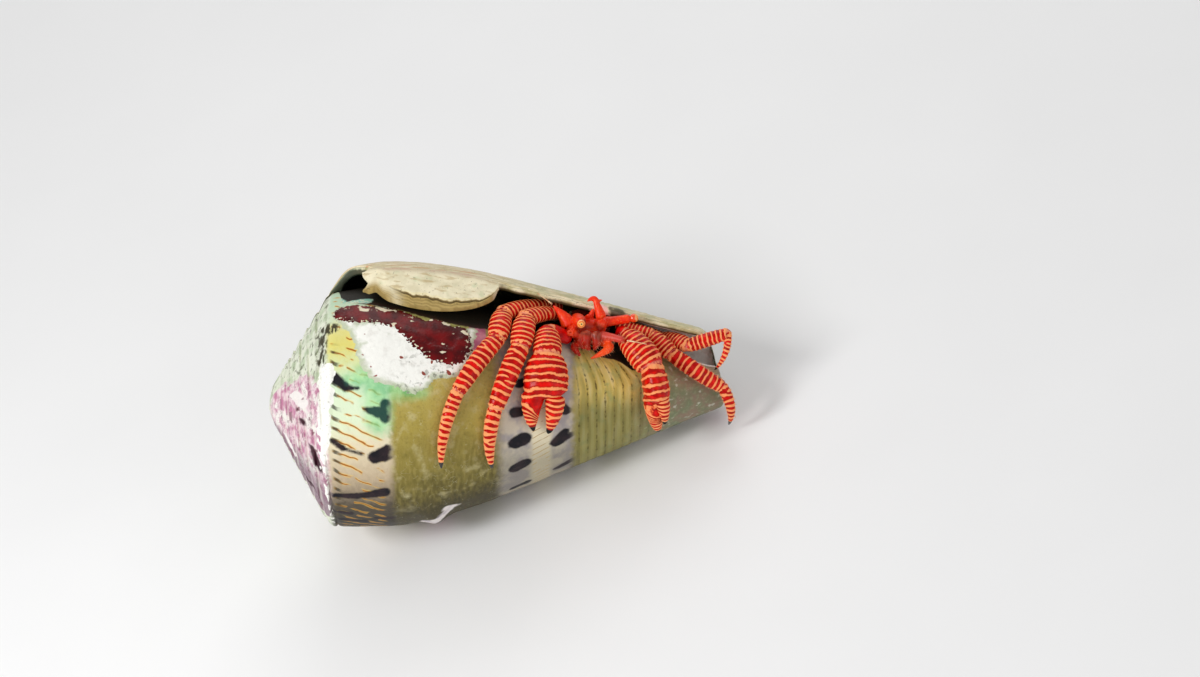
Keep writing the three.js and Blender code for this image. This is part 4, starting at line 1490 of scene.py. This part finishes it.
FACE_BRIDGES = [
    # brow that carries the stalks, cheek, knob under the right eye, ends of the left antennule
    feature((60.6, 56, 14.2), (68, 57.5, 14.2), widths=(2.8, 3.4, 2.6)),
    feature((61, 54, 14.6), (61.6, 45, 14.6), widths=(2.8, 2.8, 2.4)),
    feature((66.3, 55, 14.6), (67.3, 50, 16.6), widths=(2.4, 2.4, 2.2)),
    feature((62, 47, 14.8), (60.9, 43.2, 15.8), widths=(2.2, 1.9, 1.5)),
    feature((66.3, 59, 19.7), (65.5, 59.6, 20.2), (64.4, 58.2, 19.8), widths=(1.3, 1.0, 0.2)),
    feature((66.2, 59, 19.6), (67.5, 58.9, 19.9), widths=(1.0, 0.6, 0.15)),
    feature((64.2, 60.5, 15.4), (64.5, 56, 17.2), widths=(1.5, 1.1, 0.4)),
    # mouthparts under the face
    feature((66.8, 46, 13.6), (67.5, 37, 13.2), widths=(2.4, 2, 1.6)),
    feature((62.2, 46, 13.6), (62, 37, 13.2), widths=(2.2, 1.8, 1.6)),
    feature((64.2, 46, 15.2), (63.7, 38.5, 14.6), (64.4, 33.5, 13.2), widths=(2.5, 1.9, 0.6)),
    feature((65.6, 45, 15.2), (65.8, 38.5, 14.5), (65.1, 33.5, 13.2), widths=(2.5, 1.8, 0.6)),
    feature((63.1, 45, 14.8), (62.7, 39, 14.4), (63.4, 34.5, 13.4), widths=(2.1, 1.6, 0.5)),
]
KNOB = (60.75, 43, 16.05)
FEELERS = {
    "right": feature((57.6, 60.2, 19.4), (54.7, 62.8, 21.7), widths=(0.32, 0.22, 0.12)),
    "left": feature((71.7, 33.6, 15.8), (75.6, 26.5, 17.4), widths=(0.32, 0.22, 0.12)),
}
EYE_LENGTH = 1.15
EYE_WIDTH = 1.75
EYE_OVERLAP = 0.35  # how far it reaches back over its stalk
EYE_RINGS, EYE_SIDES = 22, 40


def ring_form(centre, major, minor, rows=28, columns=14):
    """A small ring that faces away from the shell's axis."""
    middle = place(*centre)
    out = unit(middle * [0, 1, 1])
    side = np.array([1.0, 0, 0])
    up = np.cross(out, side)
    turn = round_trip(rows)[:, None, None]
    around = round_trip(columns)
    reach = (major + minor * np.cos(around))[..., None]
    direction = side * np.cos(turn) + up * np.sin(turn)
    points = middle + direction * reach + out * (minor * np.sin(around))[:, None]
    faces = np.array(grid_faces(rows + 1, columns, wrap=True)) % (rows * columns)
    return points.reshape(-1, 3), faces.tolist()


def eye_form(stalk):
    """The ball at the end of a stalk, and how far each point is from its middle."""
    base, end = place(*stalk.path[0]), place(*stalk.path[-1])
    forward = unit(end - base)
    side = unit(np.cross(forward, [0, 0, 1]))
    up = np.cross(side, forward)
    t = np.linspace(0, 1, EYE_RINGS + 1)[1:-1] * math.pi
    around = round_trip(EYE_SIDES)
    reach = EYE_LENGTH / 2 + EYE_OVERLAP
    middle = end + forward * (EYE_LENGTH / 2 - 0.05)
    axis = (-np.cos(t) * reach)[:, None, None]
    radius = (np.sin(t) * EYE_WIDTH / 2)[:, None]
    points = (
        middle
        + forward * axis
        + side * (radius * np.cos(around))[:, :, None]
        + up * (radius * np.sin(around))[:, :, None]
    )
    from_pole = np.repeat(np.where(t > math.pi / 2, np.sin(t), 2 - np.sin(t)), EYE_SIDES)
    form = closed_tube(points, middle - forward * reach, middle + forward * reach)
    return form, {"rim": np.concatenate([from_pole, [2.0, 0.0]])}


def face_layers(points):
    """Where the skin of the face is brown, pink, bright or dark, and where it has bristles. The
    dark, low on the face, is painted shade; the brown in its middle is partly brown skin, partly
    painted shadow.
    """

    def near(spot, reach):
        return bell(np.linalg.norm(points - place(*spot), axis=1), reach)

    def along_limb(name):
        nearness = Limb([FACE[name]], sides=8, per_mm=6).nearest(points)[1]
        return 1 - ease(nearness, 1.1, 1.6)

    height = points[:, 2]
    bright = np.maximum(near(KNOB, 0.9), along_limb("maxilliped_left"))
    return {
        # brown in the middle of the face: partly brown skin, partly painted shadow
        "brown": np.maximum(near((64, 46.5, 16.2), 2.0), near((66.2, 43.5, 15.4), 1.7)),
        "pink": along_limb("antenna_left"),
        "bright": bright,
        # darker low on the face, under it: painted shade
        "dark": (1 - ease(height, 9.2, 11.4)) * (1 - bright),
        "hair": (1 - ease(height, 8.5, 10.5)) + near(KNOB, 1.0) * 0.5,
    }


def face_material(look):
    paint = Paint("wet_orange_skin")
    mix, layer = paint.mix, paint.layer
    mottled, fine = paint.noise(0.9, 3), paint.noise(0.35)
    brown = mix(mottled.step(0.4, 0.6), (84, 36, 24), (146, 76, 56))
    base = mix(mottled.step(0.35, 0.7), (240, 42, 8), look.face).coats(
        (fine.step(0.55, 0.7) * 0.5, (255, 128, 62)),
        # darker red low on the face: painted shade
        (layer("dark") * (mottled.step(0.3, 0.6) * 0.4 + 0.45), (150, 18, 8)),
        # brown in the middle of the face: partly brown skin, partly painted shadow
        (layer("brown").step(0.1, 0.6) * (fine * 0.4 + 0.6), brown),
        (layer("pink") * 0.75, mix(fine, (226, 96, 82), (206, 48, 36))),
        (layer("bright") * 0.8, (250, 84, 24)),
    )
    return paint.finish(
        base, 0.36, mottled * 0.6 + fine * 0.5, depth=0.09, specular_ior_level=0.25,
        coat_weight=0.05, coat_roughness=0.15, subsurface_weight=0.12,
        subsurface_radius=(1.0, 0.25, 0.1), subsurface_scale=0.0006,
    )


def eye_material(look):
    paint = Paint("orange_eye")
    rim = paint.layer("rim")
    base = paint.mix(rim.step(0.14, 0.2), (20, 8, 4), look.eye).coats(
        (rim.step(0.42, 0.5), (250, 110, 36)),
        (rim.step(0.62, 0.74), (255, 176, 92)),
        (rim.step(0.85, 0.98), (240, 70, 20)),
    )
    return paint.finish(base, 0.12, coat_weight=0.6, coat_roughness=0.05)


def feeler_material():
    paint = Paint("pale_feeler")
    banded = paint.noise(0.5, 1)
    base = paint.mix(banded.step(0.4, 0.6), (236, 214, 170), (214, 150, 110))
    return paint.finish(base, 0.35, banded, depth=0.02)


# ---------------------------------------------------------------- soft body

# Each stretch between its spins: how far along its left and right sides lie and how much of the
# height between the whorls it fills, at its start and at its end.
BODY = {
    "head": dict(spins=(43, 63.5), left=(68.2, 68.6), right=(61.4, 61.2), fill=(0.45, 0.62)),
    "shield": dict(spins=(65, 84), left=(68.6, 68.9), right=(61, 60.8), fill=(0.9, 1)),
    "thorax": dict(spins=(86, 122), left=(69, 68), right=(60.8, 59.5), fill=(1, 1)),
    "abdomen_front": dict(spins=(124, 196), left=(68, 66), right=(59.5, 54), fill=(1, 1)),
    "abdomen_rear": dict(spins=(198, 256), left=(66, 58), right=(54, 50), fill=(1, 0.95)),
    "tail_fan": dict(spins=(258, 276), left=(57.5, 56), right=(50.5, 51.5), fill=(0.9, 0.6)),
}
INSIDE_BODY = [name for name in BODY if name != "head"]
INNER_LEGS = {
    "leg_right_fourth": [(59, 97), (54.5, 92)],
    "leg_right_fifth": [(58.4, 110), (54, 108)],
    "leg_left_fourth": [(70.4, 97), (74.5, 92)],
    "leg_left_fifth": [(69.6, 110), (73.5, 108)],
}
INNER_LEG_WIDTHS = (1.9, 1.9, 1.1)
BODY_CLEARANCE = 0.4
BODY_SIDES = 40


def body_form(part, rings):
    """A flattened stretch of body between the whorls."""
    t = np.linspace(0, 1, rings)[:, None]
    around = round_trip(BODY_SIDES)
    spin = lerp(*part["spins"], t)
    near = np.minimum(t, 1 - t)
    ends = lerp(0.72, 1, ease(near, 0, 0.4)) * np.sqrt(np.clip(ease(near, -0.02, 0.06), 0.05, 1))
    left, right = lerp(*part["left"], t), lerp(*part["right"], t)
    across = np.sign(np.cos(around)) * np.abs(np.cos(around)) ** 0.8
    along = (left + right) / 2 + (left - right) / 2 * ends * across
    floor = seat_radius(along, spin) + BODY_CLEARANCE
    roof = whorl_radius(along, spin) - WALL - BODY_CLEARANCE
    height = 0.5 + 0.5 * ends * np.sin(around)
    points = place(along, spin, lerp(floor, roof, height * lerp(*part["fill"], t)))
    return closed_tube(points, points[0].mean(axis=0), points[-1].mean(axis=0))


def inner_leg(ends):
    """A short rear leg, half-way between the whorls."""
    path = [
        (x, spin, (seat_radius(x, spin) + whorl_radius(x, spin) - WALL) / 2) for x, spin in ends
    ]
    return Limb([Segment(path, INNER_LEG_WIDTHS, depth=0.8)], sides=20, per_mm=8)


def body_material(look):
    paint = Paint("soft_body")
    mottled = paint.noise(2, 3)
    shield = paint.mix(mottled.step(0.35, 0.65), (120, 30, 16), (70, 20, 12))
    base = paint.mix(mottled.step(0.4, 0.7), look.body, (206, 96, 70))
    base = base.coats((paint.layer("shield"), shield))
    return paint.finish(
        base, 0.4, mottled, depth=0.1, subsurface_weight=0.2, subsurface_scale=0.001
    )


# ---------------------------------------------------------------- bristles

BRISTLE_CONE = {"Vertices": 4, "Radius Top": 0.012, "Radius Bottom": 0.045, "Depth": 1.0}
BRISTLE_SIZES = {"Min": 0.5, "Max": 1.1}
BRISTLE_INPUTS = {
    "Geometry": "NodeSocketGeometry", "Density": "NodeSocketFloat", "Length": "NodeSocketFloat",
    "Droop": "NodeSocketVector", "Seed": "NodeSocketInt", "Material": "NodeSocketMaterial",
}


def bristle_nodes():
    """Geometry nodes that set thin bristles where a surface's layer "hair" is above 0."""
    tree = bpy.data.node_groups.new("bristles", "GeometryNodeTree")
    for name, kind in BRISTLE_INPUTS.items():
        tree.interface.new_socket(name, in_out="INPUT", socket_type=kind)
    tree.interface.new_socket("Geometry", in_out="OUTPUT", socket_type="NodeSocketGeometry")

    def add(kind, values, **settings):
        return add_node(tree, kind, settings, values).outputs

    start = add("NodeGroupInput", {})
    hair = add("GeometryNodeInputNamedAttribute", {"Name": "hair"})[0]
    density = add("ShaderNodeMath", {0: hair, 1: start["Density"]}, operation="MULTIPLY")[0]
    spread = add(
        "GeometryNodeDistributePointsOnFaces",
        {"Mesh": start["Geometry"], "Density": density, "Seed": start["Seed"]},
    )
    cone = add("GeometryNodeMeshCone", BRISTLE_CONE, fill_type="NGON")["Mesh"]
    lean = add("ShaderNodeVectorMath", {0: spread["Normal"], 1: start["Droop"]}, operation="ADD")[0]
    turn = add("FunctionNodeAlignRotationToVector", {"Vector": lean}, axis="Z")[0]
    size = add("FunctionNodeRandomValue", {**BRISTLE_SIZES, "Seed": start["Seed"]})[1]
    scale = add("ShaderNodeMath", {0: size, 1: start["Length"]}, operation="MULTIPLY")[0]
    placed = add(
        "GeometryNodeInstanceOnPoints",
        {"Points": spread["Points"], "Instance": cone, "Rotation": turn, "Scale": scale},
    )[0]
    solid = add("GeometryNodeRealizeInstances", {"Geometry": placed})[0]
    material = {"Geometry": solid, "Material": start["Material"]}
    add("NodeGroupOutput", {"Geometry": add("GeometryNodeSetMaterial", material)[0]})
    return tree


def add_bristles(name, surface, material, density, length, droop, seed):
    """Bristles on a finished piece, as a piece of their own. Density is for a square mm."""
    tree = bpy.data.node_groups.get("bristles") or bristle_nodes()
    modifier = surface.modifiers.new("bristles", "NODES")
    modifier.node_group = tree
    values = {
        "Density": density / MM**2, "Length": length * MM, "Droop": (0.0, 0.0, -droop),
        "Seed": seed, "Material": material,
    }
    for item in tree.interface.items_tree:
        if item.in_out == "INPUT" and item.name in values:
            modifier[item.identifier] = values[item.name]
    mesh = evaluated_mesh(surface)
    surface.modifiers.remove(modifier)
    mesh.name = name
    dress(link_object(name, mesh), "feeler")


def bristle_material():
    paint = Paint("pale_bristle")
    return paint.finish(paint.mix(paint.noise(0.8, 1), (246, 206, 160), (236, 130, 84)), 0.4)


# ---------------------------------------------------------------- lip plate

PLATE_SHARE = (20.6, 47.3)  # where along the shell it starts and ends
PLATE_DROP = 6.4
PLATE_ENDS = (3.6, 0.8)  # how far it still hangs down at its ends
PLATE_THICKNESS = 1.3
PLATE_THIN = 0.55  # share of its thickness that is left at its free edge
PLATE_TOP = 70
PLATE_WRAP = 1.03
PLATE_LEAN = 0.61
PLATE_OVERLAP = 2.8  # how far the crust runs up over the lip
PLATE_STEP = 0.34  # how far the upper layer stands out over the lower one
PLATE_GROOVE = 0.2
PLATE_WAVES = ((0.022, 23, 0), (0.016, 51, 1), (0.012, 90, 0))  # height, number and start
PLATE_COLUMNS, PLATE_ROWS = 170, 44


def plate_relief(share, part):
    """How far each place is under the ruffle, how clear the ruffle is there, and the relief.

    The upper layer ends in the ruffle and the lower one looks out under it. The relief is given
    as the heights that add up to it.
    """
    waves = sum(height * np.sin(number * share + start) for height, number, start in PLATE_WAVES)
    lower = part - (0.46 + 0.4 * share + waves)
    strength = ease(share, 0.16, 0.34) * (1 - ease(share, 0.93, 1))
    step = PLATE_STEP * (1 - ease(lower, -0.012, 0.012) * strength)
    groove = PLATE_GROOVE * bell(lower - 0.045, 0.03) * strength
    curl = 0.16 * bell(part - 0.96, 0.07) + 0.1 * bell(lower - 0.2, 0.05) * strength
    lines = 0.03 * np.sin(70 * part + 4 * np.sin(5 * share)) * ease(lower, 0, 0.1)
    return lower, strength, (step, -groove, curl, lines)


def plate_form():
    """A crust that hangs from the lip, with a ruffled upper layer over a curled lower one."""
    share = np.linspace(0, 1, PLATE_COLUMNS)[:, None]
    near_end = np.minimum(share, 1 - share)
    x = lerp(*PLATE_SHARE, share)
    bow = PLATE_DROP * np.clip(1 - (2 * share - 1) ** 2, 0, 1) ** 0.6
    reach = np.maximum(bow, lerp(*PLATE_ENDS, share))
    edge = whorl_radius(x, lip_spin(x))
    overlap = PLATE_OVERLAP * ease(np.minimum(2 * share, 1 - share), 0, 0.3)
    down = lerp(-overlap - 0.1, reach, np.linspace(0, 1, PLATE_ROWS))
    part = np.clip(down / reach, 0, 1)
    top = np.minimum(lip_spin(x), PLATE_TOP) - 1.2
    spin = top - PLATE_WRAP * np.degrees(down / edge)
    hook = 1.1 * bell(part - 0.55, 0.32) - 0.1 * ease(part, 0.75, 1)
    outer_x = x + (1 - ease(share, 0, 0.1)) * hook

    lower, strength, relief = plate_relief(share, part)
    lean = PLATE_LEAN * np.maximum(down, 0)
    hanging = sum(relief, edge - 0.51 - lean)
    swelling = 0.16 * (1 - (down / PLATE_OVERLAP) ** 2)
    over = outer_radius(x, np.maximum(spin, lip_spin(x) + 0.5)) + swelling - 0.03
    radius = lerp(over, hanging, ease(down, -0.9, 0.9))
    smooth = place(outer_x, spin, radius)
    lumps = 0.1 * rough(smooth, 2.5, 41) + 0.05 * rough(smooth, 0.8, 42)
    floor = seat_radius(outer_x, spin) + 0.3
    outer = place(outer_x, spin, np.maximum(radius + lumps * ease(down, -2, 0), floor + 0.3))
    thick = PLATE_THICKNESS * lerp(1, PLATE_THIN, np.clip(down, 0, None) / PLATE_DROP)
    thick = thick * lerp(0.15, 1, ease(near_end, 0, 0.05))
    inner_radius = np.minimum(np.maximum(edge - 0.35 - lean - thick, floor), radius - 0.1)
    ring = np.concatenate([outer, place(outer_x, spin, inner_radius)[:, ::-1]], axis=1)
    count = ring.shape[1]
    faces = grid_faces(PLATE_COLUMNS, count, wrap=True)
    last = (PLATE_COLUMNS - 1) * count
    for j in range(PLATE_ROWS - 1):
        k = count - 1 - j
        faces.append([j, k, k - 1, j + 1])
        faces.append([last + j, last + j + 1, last + k - 1, last + k])
    values = {"lower": lower, "strength": strength + 0 * lower, "down": down}
    layers = {
        name: np.concatenate([one_side, one_side[:, ::-1]], axis=1).ravel()
        for name, one_side in values.items()
    }
    return (ring.reshape(-1, 3), faces), layers


def plate_material():
    paint = Paint("layered_lip_crust")
    noise, mix = paint.noise, paint.mix
    lower, down, strength = (paint.layer(name) for name in ("lower", "down", "strength"))
    cloudy, grain = noise(2.6, 3), noise(0.4)
    streaks = paint.streaks(paint.parts(paint.spot)[0] * 0.4, down * 1.5, 1.2)
    worn = mix(cloudy.step(0.42, 0.6), (218, 200, 164), (216, 176, 146))
    cream = mix(cloudy.step(0.35, 0.65), (242, 232, 200), (222, 212, 178)).coats(
        (noise(3.4).step(0.56, 0.7) * 0.5, (186, 200, 156)),
        (streaks.step(0.52, 0.66) * 0.6, (186, 158, 106)),
        ((down + (cloudy - 0.5) * 3).fall(-1.6, 0.4) * 0.85, worn),
    )
    lines = (lower * 60 + cloudy * 9).wave()
    brown = mix(lines * 0.5, (188, 162, 98), (126, 100, 52)).coats(
        (cloudy.step(0.5, 0.7) * 0.5, (138, 120, 62))
    )
    below = lower.step(-0.004, 0.012) * strength
    plain = lower.step(-0.1, 0.5) * (1 - strength)
    ruffle_shadow, rim = lower - 0.035, lower + 0.016
    base = mix(below.largest(plain), cream, brown).coats(
        # a dark line just under the ruffle: painted shadow
        ((ruffle_shadow * ruffle_shadow).fall(0, 0.0011) * strength * 0.85, (70, 54, 24)),
        ((rim * rim).fall(0, 0.0003) * strength * 0.6, (240, 226, 170)),
        (grain.step(0.66, 0.72) * 0.6, (96, 84, 54)),
    )
    height = cloudy * 0.6 + grain * 0.3 + lines * below * 0.4
    return paint.finish(base, 0.55, height, depth=0.12, specular_ior_level=0.35)


# ---------------------------------------------------------------- stage

LIGHTS = {  # place in metres, size in metres and share of the key light's power
    "key": ((-0.26, -0.22, 0.36), 0.17, 1),
    "fill": ((0.35, -0.35, 0.22), 0.35, 0.34),
    "back": ((0.1, 0.4, 0.35), 0.35, 0.5),
}
VIEW_TILT = math.radians(3.75)  # of the shell's axis in the frame
VIEW_CENTRE = (66.5, 9.5)  # what the middle of the frame looks at, along the axis and above it
VIEW_DISTANCE = 993.0
FRAME_WIDTH = 1200
PIXELS_FOR_MM = 5.033
SENSOR_WIDTH = 36


def add_floor(side):
    half = side / 2
    mesh = bpy.data.meshes.new("floor")
    corners = [(-half, -half, 0), (half, -half, 0), (half, half, 0), (-half, half, 0)]
    mesh.from_pydata(corners, [], [(0, 1, 2, 3)])
    paint = Paint("pale_floor")
    tone = paint.mix(paint.noise(40), Color((0.86,) * 3), Color((0.9,) * 3))
    mesh.materials.append(paint.finish(tone, 0.9))
    link_object("floor", mesh)


def add_lights(key_power, sky):
    world = bpy.data.worlds.new("studio")
    bpy.context.scene.world = world
    world.use_nodes = True
    background = world.node_tree.nodes["Background"]
    background.inputs["Color"].default_value = (1, 1, 1, 1)
    background.inputs["Strength"].default_value = sky
    for name, (position, size, share) in LIGHTS.items():
        data = bpy.data.lights.new(name, "AREA")
        data.size = size
        data.energy = key_power * share
        light = link_object(name, data)
        light.location = position
        light.rotation_euler = (-Vector(position)).to_track_quat("-Z", "Y").to_euler()


def add_camera():
    scene = bpy.context.scene
    right = TURN @ np.array([math.cos(VIEW_TILT), 0, -math.sin(VIEW_TILT)])
    up = TURN @ np.array([math.sin(VIEW_TILT), 0, math.cos(VIEW_TILT)])
    position = to_model(np.array([VIEW_CENTRE[0], -VIEW_DISTANCE, VIEW_CENTRE[1]]))
    data = bpy.data.cameras.new("camera")
    data.sensor_width = SENSOR_WIDTH
    data.lens = SENSOR_WIDTH * VIEW_DISTANCE / (FRAME_WIDTH / PIXELS_FOR_MM)
    camera = link_object("camera", data)
    matrix = np.eye(4)
    matrix[:3] = np.stack([right, up, np.cross(right, up), position], axis=1)
    camera.matrix_world = Matrix(matrix)
    scene.camera = camera
    scene.view_settings.view_transform = "Standard"


# ---------------------------------------------------------------- operators

BRISTLES = {"density": 9.0, "length": 0.3, "droop": 0.5}
FACE_BRISTLES = {"density": 3.5, "length": 0.55, "droop": 0.8}


class CRAB_OT_stage(bpy.types.Operator):
    """Adds the floor, the lights and the camera"""

    bl_idname = "crab.stage"
    bl_label = "Stage"

    def execute(self, context):
        stage = context.scene.crab_stage
        add_floor(stage.floor_size)
        add_lights(stage.key_power, stage.sky)
        add_camera()
        return {"FINISHED"}


class CRAB_OT_shell(bpy.types.Operator):
    """Makes the cone shell with the crusts that grow on it"""

    bl_idname = "crab.shell"
    bl_label = "Cone shell"

    def execute(self, context):
        look = context.scene.crab_shell
        form = ShellForm(look.relief, look.cord_gap / MM)
        dress(form.build(shell_material(look)), "shell", "shell")
        return {"FINISHED"}


class CRAB_OT_lip_plate(bpy.types.Operator):
    """Makes the layered crust that hangs from the lip"""

    bl_idname = "crab.lip_plate"
    bl_label = "Lip crust"

    def execute(self, context):
        form, layers = plate_form()
        piece = make_piece("lip_crust", form, plate_material(), layers)
        dress(piece, "lip_crust", "lip_plate")
        return {"FINISHED"}


class CRAB_OT_walking_legs(bpy.types.Operator):
    """Makes the four walking legs with their rings and black tips"""

    bl_idname = "crab.walking_legs"
    bl_label = "Walking legs"

    def execute(self, context):
        look = context.scene.crab_body
        skin, black, hair = limb_material(look), black_material(look), bristle_material()
        for seed, (name, leg) in enumerate(WALKING_LEGS.items()):
            segments = leg_segments(leg)
            limb = Limb(segments, ring_height=look.ring_height / MM, seed=seed, ends=(0.6, 0))
            layers = limb.layers("ring", "soft", "knuckle", "hair")
            piece = make_piece(f"leg_{name}", limb.form(), skin, layers)
            bristles = {**BRISTLES, "length": leg.get("bristle", BRISTLES["length"])}
            add_bristles(f"leg_{name}_bristles", piece, hair, seed=seed, **bristles)
            dress(piece, "red_carapace", *[f"leg_{name}_{part}" for part in SEGMENT_WIDTHS])
            last = segments[-1]
            widths = tuple(w * (leg["width"] * leg.get("slim", 1)) for w in TIP_WIDTHS)
            tip = Segment(last.path, widths, last.depth, last.bend, (last.span[1] - 0.01, 1), 1)
            form = Limb([tip], sides=24, ends=(0, 1.0)).form()
            dress(make_piece(f"leg_{name}_claw", form, black), "black_tip", f"leg_{name}_tip")
        return {"FINISHED"}


class CRAB_OT_claws(bpy.types.Operator):
    """Makes the two claws"""

    bl_idname = "crab.claws"
    bl_label = "Claws"

    def execute(self, context):
        look = context.scene.crab_body
        skin = limb_material(look)
        height = look.ring_height / MM
        for seed, (side, claw) in enumerate(CLAWS.items()):
            form, layers = hand_form(claw, height, seed)
            piece = make_piece(f"claw_{side}_hand", form, skin, layers, merge=False, sharp=180)
            dress(piece, "red_carapace", *[f"claw_{side}_{name}" for name in HAND])
            finger = Limb(
                [claw["finger"]], claw["roll"], sides=32, per_mm=12, ring_height=height,
                ends=(0.7, 0.9), seed=15 + seed,
            )
            layers = finger.layers("ring", "soft", "knuckle", "level")
            layers["black"] = ease(layers.pop("level"), *FINGER_BLACK)
            piece = make_piece(f"claw_{side}_moving_finger", finger.form(), skin, layers)
            dress(piece, "red_carapace", f"claw_{side}_finger")
        return {"FINISHED"}


class CRAB_OT_head(bpy.types.Operator):
    """Makes the face with its stalks and mouthparts, the eyes and the feelers"""

    bl_idname = "crab.head"
    bl_label = "Head"

    def execute(self, context):
        look = context.scene.crab_body
        shapes = [*FACE.values(), *FACE_BRIDGES]
        forms = [Limb([shape], sides=24, per_mm=8, ends=(0.5, 0.8)).form() for shape in shapes]
        forms += [body_form(BODY["head"], rings=24), ring_form(KNOB, major=0.5, minor=0.3)]
        points, faces = melted_form(forms, voxel=0.11, smoothing=3)
        points += vertex_normals(points, faces) * (0.05 * rough(points, 0.7, 51))[:, None]
        skin, layers = face_material(look), face_layers(points)
        face = make_piece("face", (points, faces), skin, layers, merge=False, sharp=180)
        add_bristles("face_bristles", face, bristle_material(), seed=3, **FACE_BRISTLES)
        dress(face, "orange_skin", "head", *FACE)
        eyes, feeler = eye_material(look), feeler_material()
        for side in ("right", "left"):
            form, layers = eye_form(FACE[f"eyestalk_{side}"])
            dress(make_piece(f"eye_ball_{side}", form, eyes, layers), "eye", f"eye_{side}")
            form = Limb([FEELERS[side]], sides=12, per_mm=8).form()
            piece = make_piece(f"feeler_thread_{side}", form, feeler)
            dress(piece, "feeler", f"feeler_{side}")
        return {"FINISHED"}


class CRAB_OT_soft_body(bpy.types.Operator):
    """Makes the soft body inside the shell with its short rear legs"""

    bl_idname = "crab.soft_body"
    bl_label = "Soft body"

    def execute(self, context):
        skin = body_material(context.scene.crab_body)
        forms = [body_form(BODY[name], rings=30) for name in INSIDE_BODY]
        form = melted_form(forms, voxel=0.3, smoothing=4)
        turned = np.degrees(np.arctan2(form[0][:, 2], -form[0][:, 1]))
        layers = {"shield": (1 - ease(turned, 80, 92)) * ease(turned, 30, 40)}
        body = make_piece("soft_body", form, skin, layers, merge=False, sharp=180)
        dress(body, "pale_skin", *INSIDE_BODY)
        for name, ends in INNER_LEGS.items():
            dress(make_piece(f"{name}_skin", inner_leg(ends).form(), skin), "pale_skin", name)
        return {"FINISHED"}


class CRAB_PT_panel(bpy.types.Panel):
    """Lists the steps that make the crab"""

    bl_idname = "CRAB_PT_panel"
    bl_label = "Hermit Crab"
    bl_space_type = "VIEW_3D"
    bl_region_type = "UI"
    bl_category = "Hermit Crab"

    def draw(self, context):
        for operator in OPERATORS:
            self.layout.operator(operator.bl_idname)


OPERATORS = (
    CRAB_OT_stage,
    CRAB_OT_shell,
    CRAB_OT_lip_plate,
    CRAB_OT_walking_legs,
    CRAB_OT_claws,
    CRAB_OT_head,
    CRAB_OT_soft_body,
)
SETTINGS = {"crab_shell": ShellSettings, "crab_body": CrabSettings, "crab_stage": StageSettings}


def register():
    for name, group in SETTINGS.items():
        bpy.utils.register_class(group)
        setattr(bpy.types.Scene, name, bpy.props.PointerProperty(type=group))
    for item in (*OPERATORS, CRAB_PT_panel):
        bpy.utils.register_class(item)


def unregister():
    for item in (CRAB_PT_panel, *reversed(OPERATORS)):
        bpy.utils.unregister_class(item)
    for name, group in SETTINGS.items():
        delattr(bpy.types.Scene, name)
        bpy.utils.unregister_class(group)


def main():
    register()
    for operator in OPERATORS:
        getattr(bpy.ops.crab, operator.bl_idname.split(".")[1])()


if __name__ == "__main__":
    main()
